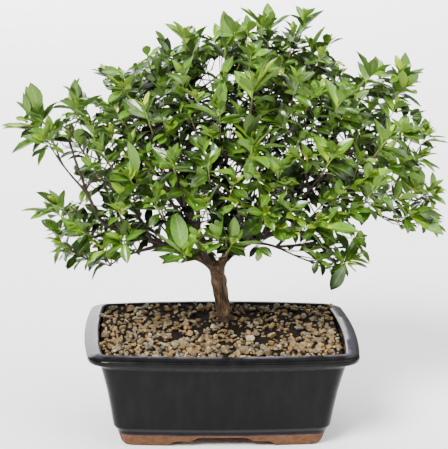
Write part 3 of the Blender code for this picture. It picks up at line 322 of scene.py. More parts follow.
# Whorls that stand out: the place of each, how much lighter it is, and its leaves' tips
Whorl = namedtuple("Whorl", "heart lift tips")
WHORLS = [
    Whorl((-128, -3, 216), 0.06, [(-126, -7, 232), (-115, -12, 231), (-145, -4, 221), (-134, -10, 201),
          (-114, -6, 209), (-138, -13, 209)]),
    Whorl((-132, 10, 233), -0.04, [(-138, 1, 260), (-120, 9, 245), (-141, 3, 238)]),
    Whorl((-141, 12, 227), 0.00, [(-144, 11, 251)]),
    Whorl((-106, -10, 242), 0.04, [(-111, -17, 259), (-105, -13, 259), (-117, -20, 252), (-88, -14, 255)]),
    Whorl((-72, -19, 258), 0.10, [(-84, -22, 270), (-83, -29, 262), (-84, -23, 250), (-65, -28, 272),
          (-61, -20, 257)]),
    Whorl((-93, -25, 225), -0.10, [(-98, -35, 237), (-89, -29, 240), (-84, -34, 222)]),
    Whorl((-94, -30, 204), -0.06, [(-90, -34, 212), (-103, -39, 204), (-84, -31, 204)]),
    Whorl((-63, -41, 198), 0.06, [(-68, -50, 228), (-77, -42, 208), (-54, -48, 207)]),
    Whorl((-37, -46, 207), 0.10, [(-30, -47, 224), (-53, -53, 215), (-24, -49, 208), (-43, -56, 218)]),
    Whorl((-48, -45, 186), 0.12, [(-57, -52, 202), (-43, -48, 200), (-36, -55, 189), (-59, -49, 183)]),
    Whorl((-10, -45, 229), 0.08, [(-17, -48, 218), (-19, -55, 237), (-2, -49, 234), (-9, -54, 241)]),
    Whorl((-7, -39, 246), 0.06, [(-5, -49, 269)]),
    Whorl((19, -31, 262), 0.06, [(30, -35, 285), (9, -40, 272)]),
    Whorl((57, -31, 251), 0.06, [(49, -40, 265), (70, -32, 265)]),
    Whorl((16, -45, 226), 0.04, [(5, -46, 240), (29, -52, 238), (17, -48, 248), (22, -55, 250)]),
    Whorl((18, -46, 221), 0.10, [(42, -53, 227), (15, -49, 198), (3, -56, 221)]),
    Whorl((50, -44, 215), -0.06, [(28, -47, 204)]),
    Whorl((93, -15, 254), 0.10, [(99, -25, 269), (87, -19, 265)]),
    Whorl((82, -29, 239), 0.10, [(99, -33, 249), (73, -38, 247), (90, -30, 232)]),
    Whorl((75, -38, 217), 0.06, [(66, -47, 224), (86, -39, 218), (73, -45, 228), (67, -41, 212)]),
    Whorl((114, -22, 212), 0.16, [(123, -23, 223), (105, -29, 225), (112, -25, 225), (123, -32, 211)]),
    Whorl((101, -31, 197), 0.08, [(119, -38, 205), (91, -34, 192), (102, -41, 211)]),
    Whorl((143, 2, 205), 0.04, [(152, -1, 210), (155, -8, 197), (136, -2, 213)]),
    Whorl((142, 0, 179), 0.06, [(144, -10, 200), (133, -4, 188)]),
    Whorl((155, 12, 174), 0.02, [(162, 8, 181), (156, 3, 165), (150, 11, 185)]),
    Whorl((131, 12, 253), 0.12, [(141, 3, 267), (142, 11, 251), (145, 5, 242), (123, 9, 264),
          (131, 2, 270)]),
    Whorl((136, 9, 234), -0.16, [(149, 8, 240), (144, 2, 230)]),
    Whorl((43, -47, 194), 0.06, [(35, -54, 201), (50, -50, 197), (40, -57, 205)]),
    Whorl((23, -49, 199), 0.04, [(33, -52, 193), (15, -59, 195), (20, -53, 209)]),
    Whorl((27, -48, 175), 0.16, [(14, -58, 180), (40, -52, 174), (34, -57, 165), (25, -49, 190)]),
    Whorl((46, -46, 176), -0.12, [(58, -50, 184), (39, -55, 187)]),
    Whorl((66, -41, 164), 0.04, [(96, -50, 164), (81, -42, 179), (55, -48, 156), (54, -44, 174),
          (70, -51, 157)]),
    Whorl((-29, -41, 143), 0.10, [(-35, -42, 176), (-48, -48, 161), (-20, -44, 161), (-45, -51, 140)]),
    Whorl((-5, -46, 155), 0.12, [(-3, -53, 179), (-16, -49, 165), (-10, -56, 171), (-18, -50, 152)]),
    Whorl((4, -45, 150), 0.10, [(7, -48, 173), (26, -55, 157), (13, -49, 165)]),
    Whorl((-72, -33, 151), 0.06, [(-69, -43, 172), (-56, -37, 160), (-70, -42, 137), (-87, -34, 158),
          (-84, -40, 143)]),
    Whorl((-99, -22, 153), 0.10, [(-116, -26, 166), (-106, -31, 167), (-92, -23, 164)]),
    Whorl((-75, -37, 173), 0.08, [(-74, -46, 184), (-84, -38, 177), (-66, -44, 180)]),
    Whorl((-118, -15, 172), 0.02, [(-134, -16, 166), (-125, -22, 187), (-134, -18, 184), (-116, -25, 187)]),
    Whorl((-116, -4, 141), -0.06, [(-125, -11, 155), (-123, -7, 126), (-109, -14, 153)]),
    Whorl((89, -21, 131), 0.00, [(80, -19, 109), (100, -25, 150), (80, -18, 143), (71, -26, 148),
          (95, -15, 143)]),
    Whorl((68, -32, 137), -0.08, [(57, -42, 149), (65, -36, 127)]),
    Whorl((96, -27, 152), -0.06, [(104, -31, 155), (102, -36, 147), (90, -28, 161)]),
    Whorl((137, -2, 162), 0.12, [(163, -11, 151), (162, -3, 158), (153, -9, 170), (126, -5, 175),
          (124, -12, 163), (146, -6, 174)]),
    Whorl((24, -44, 150), -0.14, [(24, -45, 139), (33, -51, 146)]),
    Whorl((-42, -40, 232), 0.04, [(-47, -47, 248), (-33, -43, 240), (-52, -50, 228)]),
    Whorl((-21, -35, 253), 0.04, [(-26, -38, 266), (-12, -45, 260), (-16, -39, 246)]),
    Whorl((38, -20, 273), 0.08, [(32, -30, 287), (49, -24, 281), (45, -29, 265)]),
    Whorl((67, -6, 278), 0.08, [(72, -10, 290), (59, -15, 287), (78, -7, 277)]),
    Whorl((7, 3, 295), 0.08, [(0, -6, 311), (17, 2, 302), (-4, -4, 295)]),
    Whorl((27, 10, 298), 0.02, [(17, 9, 314), (34, 3, 305), (39, 7, 295)]),
    Whorl((57, 12, 303), 0.02, [(65, 5, 315), (47, 9, 309)]),
    Whorl((-28, 0, 291), 0.04, [(-35, -3, 304), (-19, -10, 297)]),
    Whorl((-55, -7, 279), 0.04, [(-56, -17, 290), (-46, -11, 281), (-63, -16, 276)]),
]
# Places of other whorls on the near side
FRONT_HEARTS = [
    (-40, -8, 278), (17, 8, 294), (18, -11, 280), (-72, -4, 268), (25, -17, 272), (36, -21, 265),
    (80, -6, 267), (128, 12, 264), (-106, 0, 248), (-75, -22, 239), (-64, -23, 246), (-44, -24, 254),
    (-33, -33, 239), (-28, -27, 255), (-25, -33, 241), (9, -35, 241), (24, -34, 241), (46, -31, 243),
    (67, -20, 255), (90, -19, 241), (-96, -16, 232), (-82, -22, 232), (-80, -26, 225), (-66, -31, 220),
    (-16, -41, 218), (41, -35, 234), (75, -29, 229), (97, -20, 231), (-67, -33, 210), (-56, -35, 214),
    (58, -37, 211), (96, -27, 207), (116, -18, 202), (131, -8, 196), (-68, -34, 182),
    (-54, -38, 192), (5, -44, 193), (31, -43, 189), (69, -36, 179), (80, -33, 183), (89, -29, 172),
    (106, -23, 175), (78, -33, 170), (82, -29, 157), (-85, -19, 140), (78, -10, 139), (-20, -43, 198),
    (-29, -42, 191), (-117, -4, 150), (125, -12, 176), (-20, -39, 153), (47, -38, 159), (36, -40, 163),
    (124, 3, 239), (142, 13, 222), (129, -2, 223), (127, -10, 202), (133, 2, 154), (155, 18, 152),
    (150, 18, 215), (-124, 2, 222), (-134, 14, 220), (-51, -38, 203), (-34, -32, 135),
    (51, -36, 224), (10, -41, 218), (63, -29, 237), (8, -44, 180), (51, -39, 171),
    (99, -26, 187)]
BACK_SHOOTS = 84              # whorls on the far side, how close their hearts may lie and from where on
BACK_SPACING = 16.0
BACK_FROM = 34.0
TOP_SHOOTS = 46               # and on the top, behind what the camera sees
TOP_SPACING = 14.0
TOP_FROM = 0.0
TOP_LOW = 232.0               # they lie above this height and between shoots that do
INNER_SHOOTS = 170            # darker shoots inside the crown: older leaves, with painted shade
INNER_SPACING = 11.0
INNER_SHADE_LIFT = -0.12            # how much lighter they are: below 0, a painted shade
HEART_SHAKE = 6.0             # how far a heart strays from the line between two others
CROWN_MIDDLE = Vector((4.0, 28.0, 190.0))
CROWN_REACH = (150.0, 85.0, 115.0)            # half width, depth and height of the crown
INNER_EXPOSURE = (0.30, 0.80)                 # share of the way out that the inner shoots keep to
BACK_EXPOSURE = (0.80, 0.97)
TOP_EXPOSURE = (0.70, 0.82)
EXTRA_LENGTH = 13.0
EXTRA_LIFT = 0.75             # how much more upwards they point
EXTRA_STRAY = 0.22            # how far their directions stray
EXTRA_AXIS = 0.8              # how much of its direction an added shoot keeps against that of its tips
EXTRA_WILD = 1.8              # how unruly the finer leaves stand, against the main ones
TWIG_DRIFT = 0.4              # how far a fine shoot leans the way that its twig comes
HANGING_DRIFT = 0.9           # the same for a shoot that hangs below the place its twig leaves
FEWEST_LEAVES = 4             # a shoot that finds room for fewer is left out
# Openings in the crown as the camera sees them, at the depth of VIEW_PLANE: x and z, radius
VIEW_PLANE = 10.0
BARE_VIEWS = [
    (-5, 113, 17), (-60, 113, 20), (-30, 112, 14), (-89, 164, 4), (31, 109, 18), (48, 123, 10),
    (-68, 291, 20), (-134, 125, 12), (122, 140, 16), (104, 98, 12), (66, 100, 13), (88, 283, 9),
    (-51, 160, 3), (-13, 159, 3), (-35, 289, 6), (-12, 259, 6), (-105, 212, 8), (146, 214, 6), (92, 271, 5),
    (-133, 168, 4), (-93, 133, 4), (-86, 249, 5), (-104, 225, 4), (-122, 155, 4), (90, 218, 5),
    (121, 271, 4), (-104, 199, 4), (29, 300, 3), (6, 260, 4), (-42, 240, 4), (-78, 209, 4), (126, 182, 4),
    (2, 275, 3), (-79, 273, 5), (129, 208, 3), (-57, 164, 4), (-98, 162, 3), (94, 125, 3), (-88, 199, 3),
    (-4, 179, 3), (51, 140, 3), (11, 122, 6), (-102, 103, 12), (-88, 106, 12), (-118, 106, 12),
    (-72, 111, 12), (-146, 199, 5), (-147, 236, 4), (55, 299, 4), (70, 296, 5), (-95, 257, 9),
    (-114, 189, 8), (-140, 186, 12), (-141, 140, 7), (-153, 217, 4), (149, 139, 8), (127, 147, 8),
    (115, 151, 6), (69, 100, 14), (99, 102, 12), (56, 123, 10), (37, 119, 8), (-6, 271, 7), (-108, 178, 7),
    (-117, 240, 6), (-95, 238, 5), (58, 137, 5), (-123, 233, 4), (-123, 132, 5), (61, 302, 4),
    (-147, 214, 4), (-121, 160, 4), (-80, 133, 4), (67, 123, 5), (143, 228, 4), (-114, 174, 4),
    (93, 266, 4), (-28, 284, 3), (-108, 219, 3), (-124, 188, 12), (164, 200, 3), (165, 207, 3),
    (160, 135, 8), (174, 148, 5), (-8, 297, 5), (69, 292, 4), (-63, 138, 4), (-94, 205, 5), (138, 139, 9)]
FILL_TRIES = 60000
TOP_TRIES = 6000
FILL_PIECES = 8
SMALL_LEAF = 10.0             # leaves shorter than this may touch the rest of their shoot
INNER_HALF = 0.35             # share of a fine leaf, and of a main one, that may touch its neighbours
MAIN_INNER_HALF = 0.3
TIP_MISS = 8.0                # a leaf whose tip lies closer than this to a chosen tip keeps its size
LEAF_SHRINK = (0.58, 0.90)    # size of the other main leaves, against the solid ones
BARE_SHRINK = 0.5             # and of those that reach into an opening, which close up
TIP_SHRINK = 0.6              # and of those with a chosen tip in an opening
TIP_LIFT = 0.12               # how much lighter the leaves with a chosen tip are
CALM = 0.4                    # and how much they bend, against the others
SLIM_WIDTH = (2.6, 0.25)      # width of a whorl's leaf of no length, and what its length adds
SLIM_WIDER = (0.9, 1.1)       # how far the width, the arch and the roll of such a leaf vary
SLIM_ARCH = (0.01, 0.07)
SLIM_ROLL = 30.0
SLIM_ROOTS = (0.9, 0.09)      # height of a whorl's first leaf, and the step down to the next
SLIM_TONES = (0.9, 0.1)       # and the height that its tone is taken from
SMALL_RISE = 0.5              # what is added to that height for a small leaf
LONG_LEAF = (14.0, 0.006)     # length beyond which a whorl's leaf is darker, and by how much for each mm
TONE_SHARES = (0.44, 0.50)    # what height on the shoot and place in the crown add to a leaf's tone; the place adds painted light outside and painted shade deep inside
TONE_MIDDLE = 0.45            # place in the crown that adds nothing
TONE_SPREAD = 0.13            # how much the tone varies between leaves, and between shoots
SHOOT_TONE_SPREAD = 0.07
BROAD = 1.1                   # width of the fine leaves, against the solid ones
CURL = (-0.10, 0.34)          # how far a leaf's outer half bends down, or up, of its length
LEAF_WAVE = 0.03              # the most that a leaf's edge waves, of its length
LEAF_TWIST = 0.5              # the most that it turns about its midrib, in radians
LEAF_SWAY = 0.05              # and bends to a side, of its length
LIMB_TAPER = 1.7              # how early a limb thins, and how much finer than its solid it ends
LIMB_END = 0.75
PATH_STEPS = 8                # points on each span of a limb's or twig's path
EASING = 10                   # rounds of smoothing on it
LIMB_WOBBLE = 0.05            # how uneven the girth of limbs and twigs is
TWIG_WOBBLE = 0.08
LIMB_SIDES = 12
FINE_TWIG_SIDES = 8
SLIM_TWIG = (0.84, 0.52)      # radii of the twigs to the main shoots, and to the others
FINE_TWIG = (0.56, 0.36)
TWIG_STRAIGHT = 0.8           # how far a drawn twig is pulled straight
BARE_TWIGS = 60               # leafless twigs low in the crown: their number, radii and lengths
BARE_TWIG = (1.2, 0.6)
BARE_TWIG_LONG = (26.0, 62.0)
BARE_TWIG_REACH = (46.0, 162.0)           # they leave the limbs within this half width and below this height
BARE_TWIG_SPREAD = Vector((4.0, 28.0, 95.0))   # point away from here
BARE_TWIG_STRAY = 0.25                    # not quite straight away
BARE_TWIG_BEND = 2.0
FINE_STEM = (0.50, 0.32)      # radii of the green stems of the added shoots, and of the main ones
FINE_STEM_MAIN = (0.64, 0.42)
BARK_RELIEF = 0.55
# Ridges and knobs: fineness across and along the limb, place in the noise and height
BARK_NOISE = [(0.55, 0.07, 3.0, 0.9), (0.2, 0.11, 0.0, 0.8)]
THIN_BARK = 0.25              # relief that is left where a limb is thin
BARK_SHIFT = 37.0             # how far apart the bark patterns of two limbs lie
FULL_GIRTH = 6.0              # radius from which a limb has its full bark
VOXEL = 0.62                  # size of the grid that the limbs are joined on
# Fine leaves and stems: places along the blade and its width there
LEAF_STATIONS = (0.0, 0.07, 0.18, 0.34, 0.52, 0.69, 0.83, 0.94, 1.0)
LEAF_WIDTHS = (0.0, 0.10, 0.42, 0.82, 1.0, 0.92, 0.62, 0.25, 0.0)
POINTED = 0.002               # how far a leaf's section closes at its ends
STEM_RINGS = [(-0.06, 1.0), (0.0, 1.0), (0.3, 0.86), (0.31, 1.0), (0.6, 0.7), (0.61, 0.82), (0.97, 0.5),
              (1.03, 0.12)]   # place along a stem and its girth there
TEMPLATE = 100.0              # size in mm at which leaves and stems are modelled before they are stamped
MERGE = 0.5                   # points closer than this become one there
LEAF_BODY = 0.016             # thickness at the midrib, of its length


def place(point):
    """A point of the tables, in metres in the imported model's frame."""
    return Vector(point) * MM + STAND


def look_axes():
    """The camera's right, up and forward directions."""
    pitch, yaw, roll = VIEW_PITCH, VIEW_YAW, VIEW_ROLL
    ahead = Vector((math.sin(yaw) * math.cos(pitch), math.cos(yaw) * math.cos(pitch), -math.sin(pitch)))
    level = Vector((math.cos(yaw), -math.sin(yaw), 0.0))
    rise = level.cross(ahead)
    right = level * math.cos(roll) + rise * math.sin(roll)
    return right, rise * math.cos(roll) - level * math.sin(roll), ahead


EYE = VIEW_TARGET - look_axes()[2] * VIEW_DISTANCE


def scatter(draw, spread):
    """A random step that is as likely in every direction."""
    return Vector([draw.gauss(0.0, spread) for _ in range(3)])


def shaken(draw, reach):
    """A random step of up to a reach along each axis."""
    return Vector([draw.uniform(-1.0, 1.0) for _ in range(3)]) * reach


def add_object(name, data):
    """Put a mesh, curve, lamp or camera into the scene."""
    made = bpy.data.objects.new(name, data)
    bpy.context.scene.collection.objects.link(made)
    return made


def paint(body, finish):
    """Give a body one material and no other."""
    body.data.materials.clear()
    body.data.materials.append(finish)


def smooth_by_angle(mesh, angle):
    """Shade round where the faces turn by less than an angle."""
    mesh.shade_smooth()
    mesh.set_sharp_from_angle(angle=math.radians(angle))


def deselect():
    """Leave nothing selected."""
    bpy.ops.object.select_all(action="DESELECT")


def close_up(distance):
    """In edit mode, merge points closer than a distance and turn faces outwards; then leave edit mode."""
    bpy.ops.mesh.select_all(action="SELECT")
    bpy.ops.mesh.remove_doubles(threshold=distance)
    bpy.ops.mesh.normals_make_consistent(inside=False)
    bpy.ops.object.mode_set(mode="OBJECT")


def tint(code):
    """A hex colour as linear red, green and blue."""
    parts = [int(code[i:i + 2], 16) / 255.0 for i in (1, 3, 5)]
    return tuple(part / 12.92 if part <= 0.04045 else ((part + 0.055) / 1.055) ** 2.4 for part in parts)


class Wire:
    """One output of a shader node. Arithmetic on it adds Math nodes."""

    def __init__(self, finish, output):
        self.finish = finish
        self.output = output

    def maths(self, operation, *values):
        """A Math node over some values."""
        return self.finish.node("ShaderNodeMath", {"operation": operation}, values)

    def __add__(self, other):
        return self.maths("ADD", self, other)

    def __sub__(self, other):
        return self.maths("SUBTRACT", self, other)

    def __rsub__(self, other):
        return self.maths("SUBTRACT", other, self)

    def __mul__(self, other):
        return self.maths("MULTIPLY", self, other)

    def __abs__(self):
        return self.maths("ABSOLUTE", self)

    def sine(self):
        return self.maths("SINE", self)

    def step(self, low, high):
        """0 below low, 1 above high and a smooth rise between them."""
        settings = {"interpolation_type": "SMOOTHSTEP"}
        limits = {"Value": self, "From Min": low, "From Max": high}
        return self.finish.node("ShaderNodeMapRange", settings, limits)


class Finish:
    """A material and short ways to add nodes to it."""

    def __init__(self, name, **fixed):
        self.material = bpy.data.materials.new(name)
        self.material.use_nodes = True
        self.tree = self.material.node_tree
        self.shader = self.tree.nodes["Principled BSDF"]
        for socket, value in fixed.items():
            self.shader.inputs[socket.replace("_", " ")].default_value = value

    def node(self, kind, settings=None, inputs=(), output=0):
        """Add a node with its settings, then the values or wires of its sockets."""
        made = self.tree.nodes.new(kind)
        for name, value in (settings or {}).items():
            if name == "stops":
                self.set_stops(made.color_ramp, value)
            else:
                setattr(made, name, value)
        pairs = inputs.items() if isinstance(inputs, dict) else enumerate(inputs)
        for key, value in pairs:
            self.feed(made.inputs[key], value)
        return Wire(self, made.outputs[output])

    def set_stops(self, ramp, stops):
        """Give a colour ramp its places and colours."""
        while len(ramp.elements) < len(stops):
            ramp.elements.new(1.0)
        for element, (position, colour) in zip(ramp.elements, stops):
            element.position = position
            element.color = (*colour, 1.0)

    def feed(self, socket, value):
        """Link a wire to a socket, or set its value."""
        if isinstance(value, Wire):
            self.tree.links.new(value.output, socket)
        elif isinstance(value, tuple) and len(value) == 3 and socket.type == "RGBA":
            socket.default_value = (*value, 1.0)
        else:
            socket.default_value = value

    def set(self, **values):
        """Feed the shader's sockets."""
        for name, value in values.items():
            self.feed(self.shader.inputs[name.replace("_", " ")], value)

    def place(self):
        """The piece's own coordinates."""
        return self.node("ShaderNodeTexCoord", output="Object")

    def part(self, vector, axis):
        """One part of a vector."""
        return self.node("ShaderNodeSeparateXYZ", None, [vector], axis)

    def scaled(self, vector, factors):
        """A vector with each of its parts scaled."""
        return self.node("ShaderNodeVectorMath", {"operation": "MULTIPLY"}, [vector, factors])

    def grain(self, vector, scale, detail=3.0, roughness=0.55, distortion=0.0):
        """Noise between 0 and 1."""
        return self.node("ShaderNodeTexNoise", None, {
            "Vector": vector, "Scale": scale, "Detail": detail, "Roughness": roughness,
            "Distortion": distortion}, "Fac")

    def cells(self, vector, scale):
        """Distance to the nearest point of a Voronoi pattern."""
        inputs = {"Vector": vector, "Scale": scale}
        return self.node("ShaderNodeTexVoronoi", {"feature": "F1"}, inputs, "Distance")

    def attribute(self, name, output="Fac"):
        """A value kept on the mesh."""
        return self.node("ShaderNodeAttribute", {"attribute_name": name}, output=output)

    def ramp(self, factor, stops):
        """A colour ramp."""
        return self.node("ShaderNodeValToRGB", {"stops": stops}, {"Fac": factor}, "Color")

    def mix(self, factor, one, other):
        """One colour fading into another."""
        return self.node("ShaderNodeMix", {"data_type": "RGBA"}, {0: factor, 6: one, 7: other}, 2)

    def bump(self, height, depth, strength=1.0):
        """Relief of a depth in metres."""
        self.set(Normal=self.node("ShaderNodeBump", None, {
            "Height": height, "Distance": depth, "Strength": strength}, "Normal"))


LEAF_GREENS = [(0.0, tint("#080e04")), (0.18, tint("#15240a")), (0.40, tint("#314f12")),
               (0.62, tint("#54861b")), (0.82, tint("#8cb622")), (1.0, tint("#c8da34"))]


def leaf_finish():
    """Glossy leaf: dark to yellow-green with age and with painted shade deep in the crown, a pale midrib,
    fine side veins and a dull underside.
    """
    finish = Finish("gardenia_leaf", Specular_IOR_Level=0.16, Coat_Roughness=0.19)
    spot = finish.place()
    blade = finish.node("ShaderNodeUVMap", {"uv_map": "UVMap"})
    across, along = finish.part(blade, "X"), finish.part(blade, "Y")
    out = abs(across - 0.5) * 2.0
    rib = 1.0 - out.step(0.03, 0.13)
    vein = ((along - out * 0.20) * 56.0).sine().step(0.72, 1.0)
    vein = vein * (1.0 - out.step(0.75, 1.0)) * out.step(0.02, 0.2)
    cloudy = finish.grain(spot, 150.0, 3.0) - 0.5
    # The tone attribute also holds painted shade that darkens the leaves deep in the crown.
    tone = finish.attribute("tone") + cloudy * 0.34 + (0.45 - along) * 0.30
    under = finish.attribute("under")
    green = finish.ramp(tone, LEAF_GREENS)
    pale = tone.step(0.15, 0.6)
    green = finish.mix(rib * pale * 0.55 + vein * pale * 0.2, green, tint("#a2b45a"))
    green = finish.mix(under * (pale * 0.28 + 0.3), green, tint("#6f8a4a"))
    finish.set(Base_Color=green, Roughness=under * 0.3 + cloudy * 0.18 + vein * 0.06 + 0.38,
               Coat_Weight=tone.step(0.10, 0.45) * (1.0 - under))
    quilt = (1.0 - vein) * 0.6 + (1.0 - rib) * 0.4
    finish.bump(quilt + finish.grain(spot, 900.0, 1.0) * 0.15, 0.0003, 0.8)
    glow = finish.node("ShaderNodeBsdfTranslucent", None, {"Color": tint("#86b01c")})
    surface = Wire(finish, finish.shader.outputs[0])
    blend = finish.node("ShaderNodeMixShader", None, [tone * 0.22, surface, glow])
    finish.feed(finish.tree.nodes["Material Output"].inputs["Surface"], blend)
    return finish.material


def shoot_finish():
    """Soft young stem: olive brown at its foot, yellow-green at its tip."""
    finish = Finish("green_shoot", Roughness=0.5)
    along = finish.attribute("tone")
    mottled = finish.grain(finish.place(), 700.0)
    colour = finish.ramp(along + mottled * 0.2 - 0.1, [
        (0.0, tint("#5a4632")), (0.4, tint("#77783a")), (0.8, tint("#92a646")), (1.0, tint("#b6c65c"))])
    finish.set(Base_Color=colour)
    finish.bump(mottled, 0.0001)
    return finish.material


def bark_finish():
    """Grey-brown bark with long fissures, tan where it has flaked, and redder on thin twigs."""
    finish = Finish("gardenia_bark")
    line = finish.attribute("bark", "Vector")
    girth = finish.attribute("girth")
    long_grain = finish.grain(finish.scaled(line, (1.0, 1.0, 0.16)), 950.0, 4.0, 0.62, 0.4)
    patches = finish.grain(finish.scaled(line, (1.0, 1.0, 0.4)), 240.0, 3.0)
    fine = finish.grain(line, 2600.0, 2.0)
    fissure = 1.0 - long_grain.step(0.36, 0.52)
    wood = finish.ramp(patches * 0.75 + long_grain * 0.35 - 0.05, [
        (0.22, tint("#291d13")), (0.42, tint("#483423")), (0.6, tint("#77593b")), (0.78, tint("#ad8d5d"))])
    twig = finish.ramp(patches * 0.8 + fine * 0.3, [
        (0.3, tint("#1f1810")), (0.6, tint("#382a1d")), (0.85, tint("#564634"))])
    colour = finish.mix(girth.step(0.35, 0.8), twig, wood)
    colour = finish.mix(fissure * 0.85, colour, tint("#191009"))
    finish.set(Base_Color=colour, Roughness=long_grain * 0.2 + 0.66)
    finish.bump(long_grain * 0.8 + fine * 0.2, 0.0006)
    return finish.material


def stone_finish():
    """Small mixed stones: each one its own colour, with dark mottling and pale dusty specks."""
    finish = Finish("mixed_gravel")
    kind = finish.attribute("tone")
    spot = finish.place()
    mottled = finish.grain(spot, 520.0, 4.0, 0.6)
    specks = finish.grain(spot, 1900.0, 2.0)
    names = ["#5c482c", "#80663e", "#927a4a", "#624828", "#876534", "#4d4d3a", "#a8946a", "#38291a",
             "#6a6858", "#7c6340", "#8f7140", "#50422c", "#a07a3c", "#5e5034", "#b5ab8c", "#746140"]
    colour = finish.ramp(kind, [(i / len(names), tint(name)) for i, name in enumerate(names)])
    colour = finish.mix(mottled.step(0.42, 0.72) * 0.7, colour, tint("#32251a"))
    colour = finish.mix(specks.step(0.6, 0.75) * 0.3, colour, tint("#a5977a"))
    finish.set(Base_Color=colour, Roughness=mottled * 0.25 + 0.55)
    finish.bump(mottled * 0.7 + specks * 0.3, 0.0005)
    return finish.material


def soil_finish():
    """Dark damp earth with paler grains."""
    finish = Finish("dark_soil", Roughness=0.92, Specular_IOR_Level=0.1)
    spot = finish.place()
    clods = finish.grain(spot, 420.0, 5.0, 0.7)
    grains = 1.0 - finish.cells(spot, 900.0).step(0.12, 0.24)
    colour = finish.ramp(clods, [(0.3, tint("#0a0806")), (0.55, tint("#19130d")), (0.8, tint("#30261a"))])
    finish.set(Base_Color=finish.mix(grains * 0.5, colour, tint("#4d3f2e")))
    finish.bump(clods, 0.0012)
    return finish.material


def pot_finish():
    """Near-black glaze, paler on the rim where it runs thin, over tan clay that is bare at the foot and
    inside; a painted reflection makes the end rims paler and a painted highlight runs along the rim's inner
    edge.
    """
    finish = Finish("dark_glaze", Specular_IOR_Level=0.1)
    spot = finish.place()
    across, height = (finish.part(spot, axis) * (1.0 / MM) for axis in ("X", "Z"))
    wander = finish.grain(finish.scaled(spot, (1.0, 1.0, 0.3)), 60.0, 3.0) - 0.5
    level = height + wander * 2.2
    glazed = level.step(GLAZE_EDGE - 0.25, GLAZE_EDGE + 0.25)
    edge = (1.0 - level.step(GLAZE_EDGE, GLAZE_EDGE + 2.6)) * glazed
    ends = abs(across - STAND.x / MM).step(84.0, 90.0)
    # Paler rim top: thin glaze all round, and on the end rims mostly a painted reflection of the bright back
    # panel.
    rim = height.step(RIM_EDGE - 0.6, RIM_EDGE + 0.4) * (ends * 0.5 + 0.1)
    # A broken painted highlight along the rim's inner edge.
    rim_glint = height.step(RIM_HEIGHT - 0.8, RIM_HEIGHT - 0.1) * wander.step(-0.15, 0.1)
    streaks = finish.grain(finish.scaled(spot, (1.0, 1.0, 0.15)), 150.0, 4.0)
    specks = finish.grain(spot, 1500.0, 2.0)
    glaze = finish.ramp(streaks, [(0.25, tint("#090909")), (0.5, tint("#0e0d0d")), (0.75, tint("#141313"))])
    glaze = finish.mix(rim, glaze, tint("#3c3c44"))
    glaze = finish.mix(rim_glint * 0.5, glaze, tint("#77727a"))
    glaze = finish.mix(edge * 0.6, glaze, tint("#1b2230"))
    clay = finish.ramp(finish.grain(spot, 300.0, 4.0), [
        (0.3, tint("#4d3324")), (0.55, tint("#5e412e")), (0.8, tint("#6c4d38"))])
    clay = finish.mix(specks.step(0.62, 0.74) * 0.5, clay, tint("#3a2619"))
    finish.set(Base_Color=finish.mix(glazed, clay, glaze),
               Roughness=(1.0 - glazed) * 0.6 + streaks * 0.10 + 0.10)
    finish.bump(streaks * 0.35 * glazed + specks * (1.0 - glazed), 0.0002, 0.5)
    return finish.material


def screen_finish():
    """Black plastic mesh with a little dust."""
    finish = Finish("drain_mesh", Specular_IOR_Level=0.4)
    dust = finish.grain(finish.place(), 500.0, 3.0)
    finish.set(Base_Color=finish.mix(dust.step(0.5, 0.8), tint("#15161a"), tint("#3c362e")),
               Roughness=dust * 0.3 + 0.4)
    return finish.material


class Growth:
    """Faces gathered for one piece, with their UV places, tones and materials."""

    def __init__(self):
        self.points, self.faces, self.uvs = [], [], []
        self.tones, self.unders, self.slots = [], [], []
        self.count = 0

    def add(self, points, faces, tones, uvs=None, unders=None, slot=0):
        """Add points and faces; tones hold a value for each point and uvs a place for each corner."""
        self.points.append(np.asarray(points, dtype=np.float32))
        self.faces += [tuple(k + self.count for k in face) for face in faces]
        self.uvs += uvs or [(0.0, 0.0)] * sum(len(face) for face in faces)
        self.tones += tones
        self.unders += unders or [0.0] * len(faces)
        self.slots += [slot] * len(faces)
        self.count += len(points)

    def join(self, other):
        """Add all that another one holds."""
        self.add(np.concatenate(other.points), other.faces, other.tones, other.uvs, other.unders)
        self.slots[-len(other.faces):] = other.slots

    def piece(self, name, finishes, sharp=50.0):
        """Turn what was gathered into an object."""
        mesh = bpy.data.meshes.new(name)
        mesh.from_pydata(np.concatenate(self.points).tolist(), [], self.faces)
        layer = mesh.uv_layers.new(name="UVMap")
        layer.data.foreach_set("uv", np.asarray(self.uvs, dtype=np.float32).ravel())
        mesh.attributes.new("tone", "FLOAT", "POINT").data.foreach_set("value", self.tones)
        mesh.attributes.new("under", "FLOAT", "FACE").data.foreach_set("value", self.unders)
        for finish in finishes:
            mesh.materials.append(finish)
        mesh.polygons.foreach_set("material_index", self.slots)
        smooth_by_angle(mesh, sharp)
        mesh.update()
        return add_object(name, mesh)


def smooth_route(points, steps):
    """Points along a smooth curve through a route, with steps to each of its spans."""
    places = [Vector(point) for point in points]
    ends = [places[0] * 2 - places[1]] + places + [places[-1] * 2 - places[-2]]
    curve = []
    for a, b, c, d in zip(ends, ends[1:], ends[2:], ends[3:]):
        for step in range(steps):
            t = step / steps
            curve.append(0.5 * (2 * b + (c - a) * t + (2 * a - 5 * b + 4 * c - d) * t * t
                                + (3 * b - a - 3 * c + d) * t ** 3))
    return curve + [places[-1]]


def triangle_profile():
    """A three-cornered section for the coarse twigs, 1 mm from its middle to a corner."""
    curve = bpy.data.curves.new("twig_section", "CURVE")
    spline = curve.splines.new("POLY")
    spline.points.add(2)
    spline.use_cyclic_u = True
    for k, point in enumerate(spline.points):
        angle = math.radians(120.0 * k)
        point.co = (math.cos(angle) * MM, math.sin(angle) * MM, 0.0, 1.0)
    return add_object("twig_section", curve)


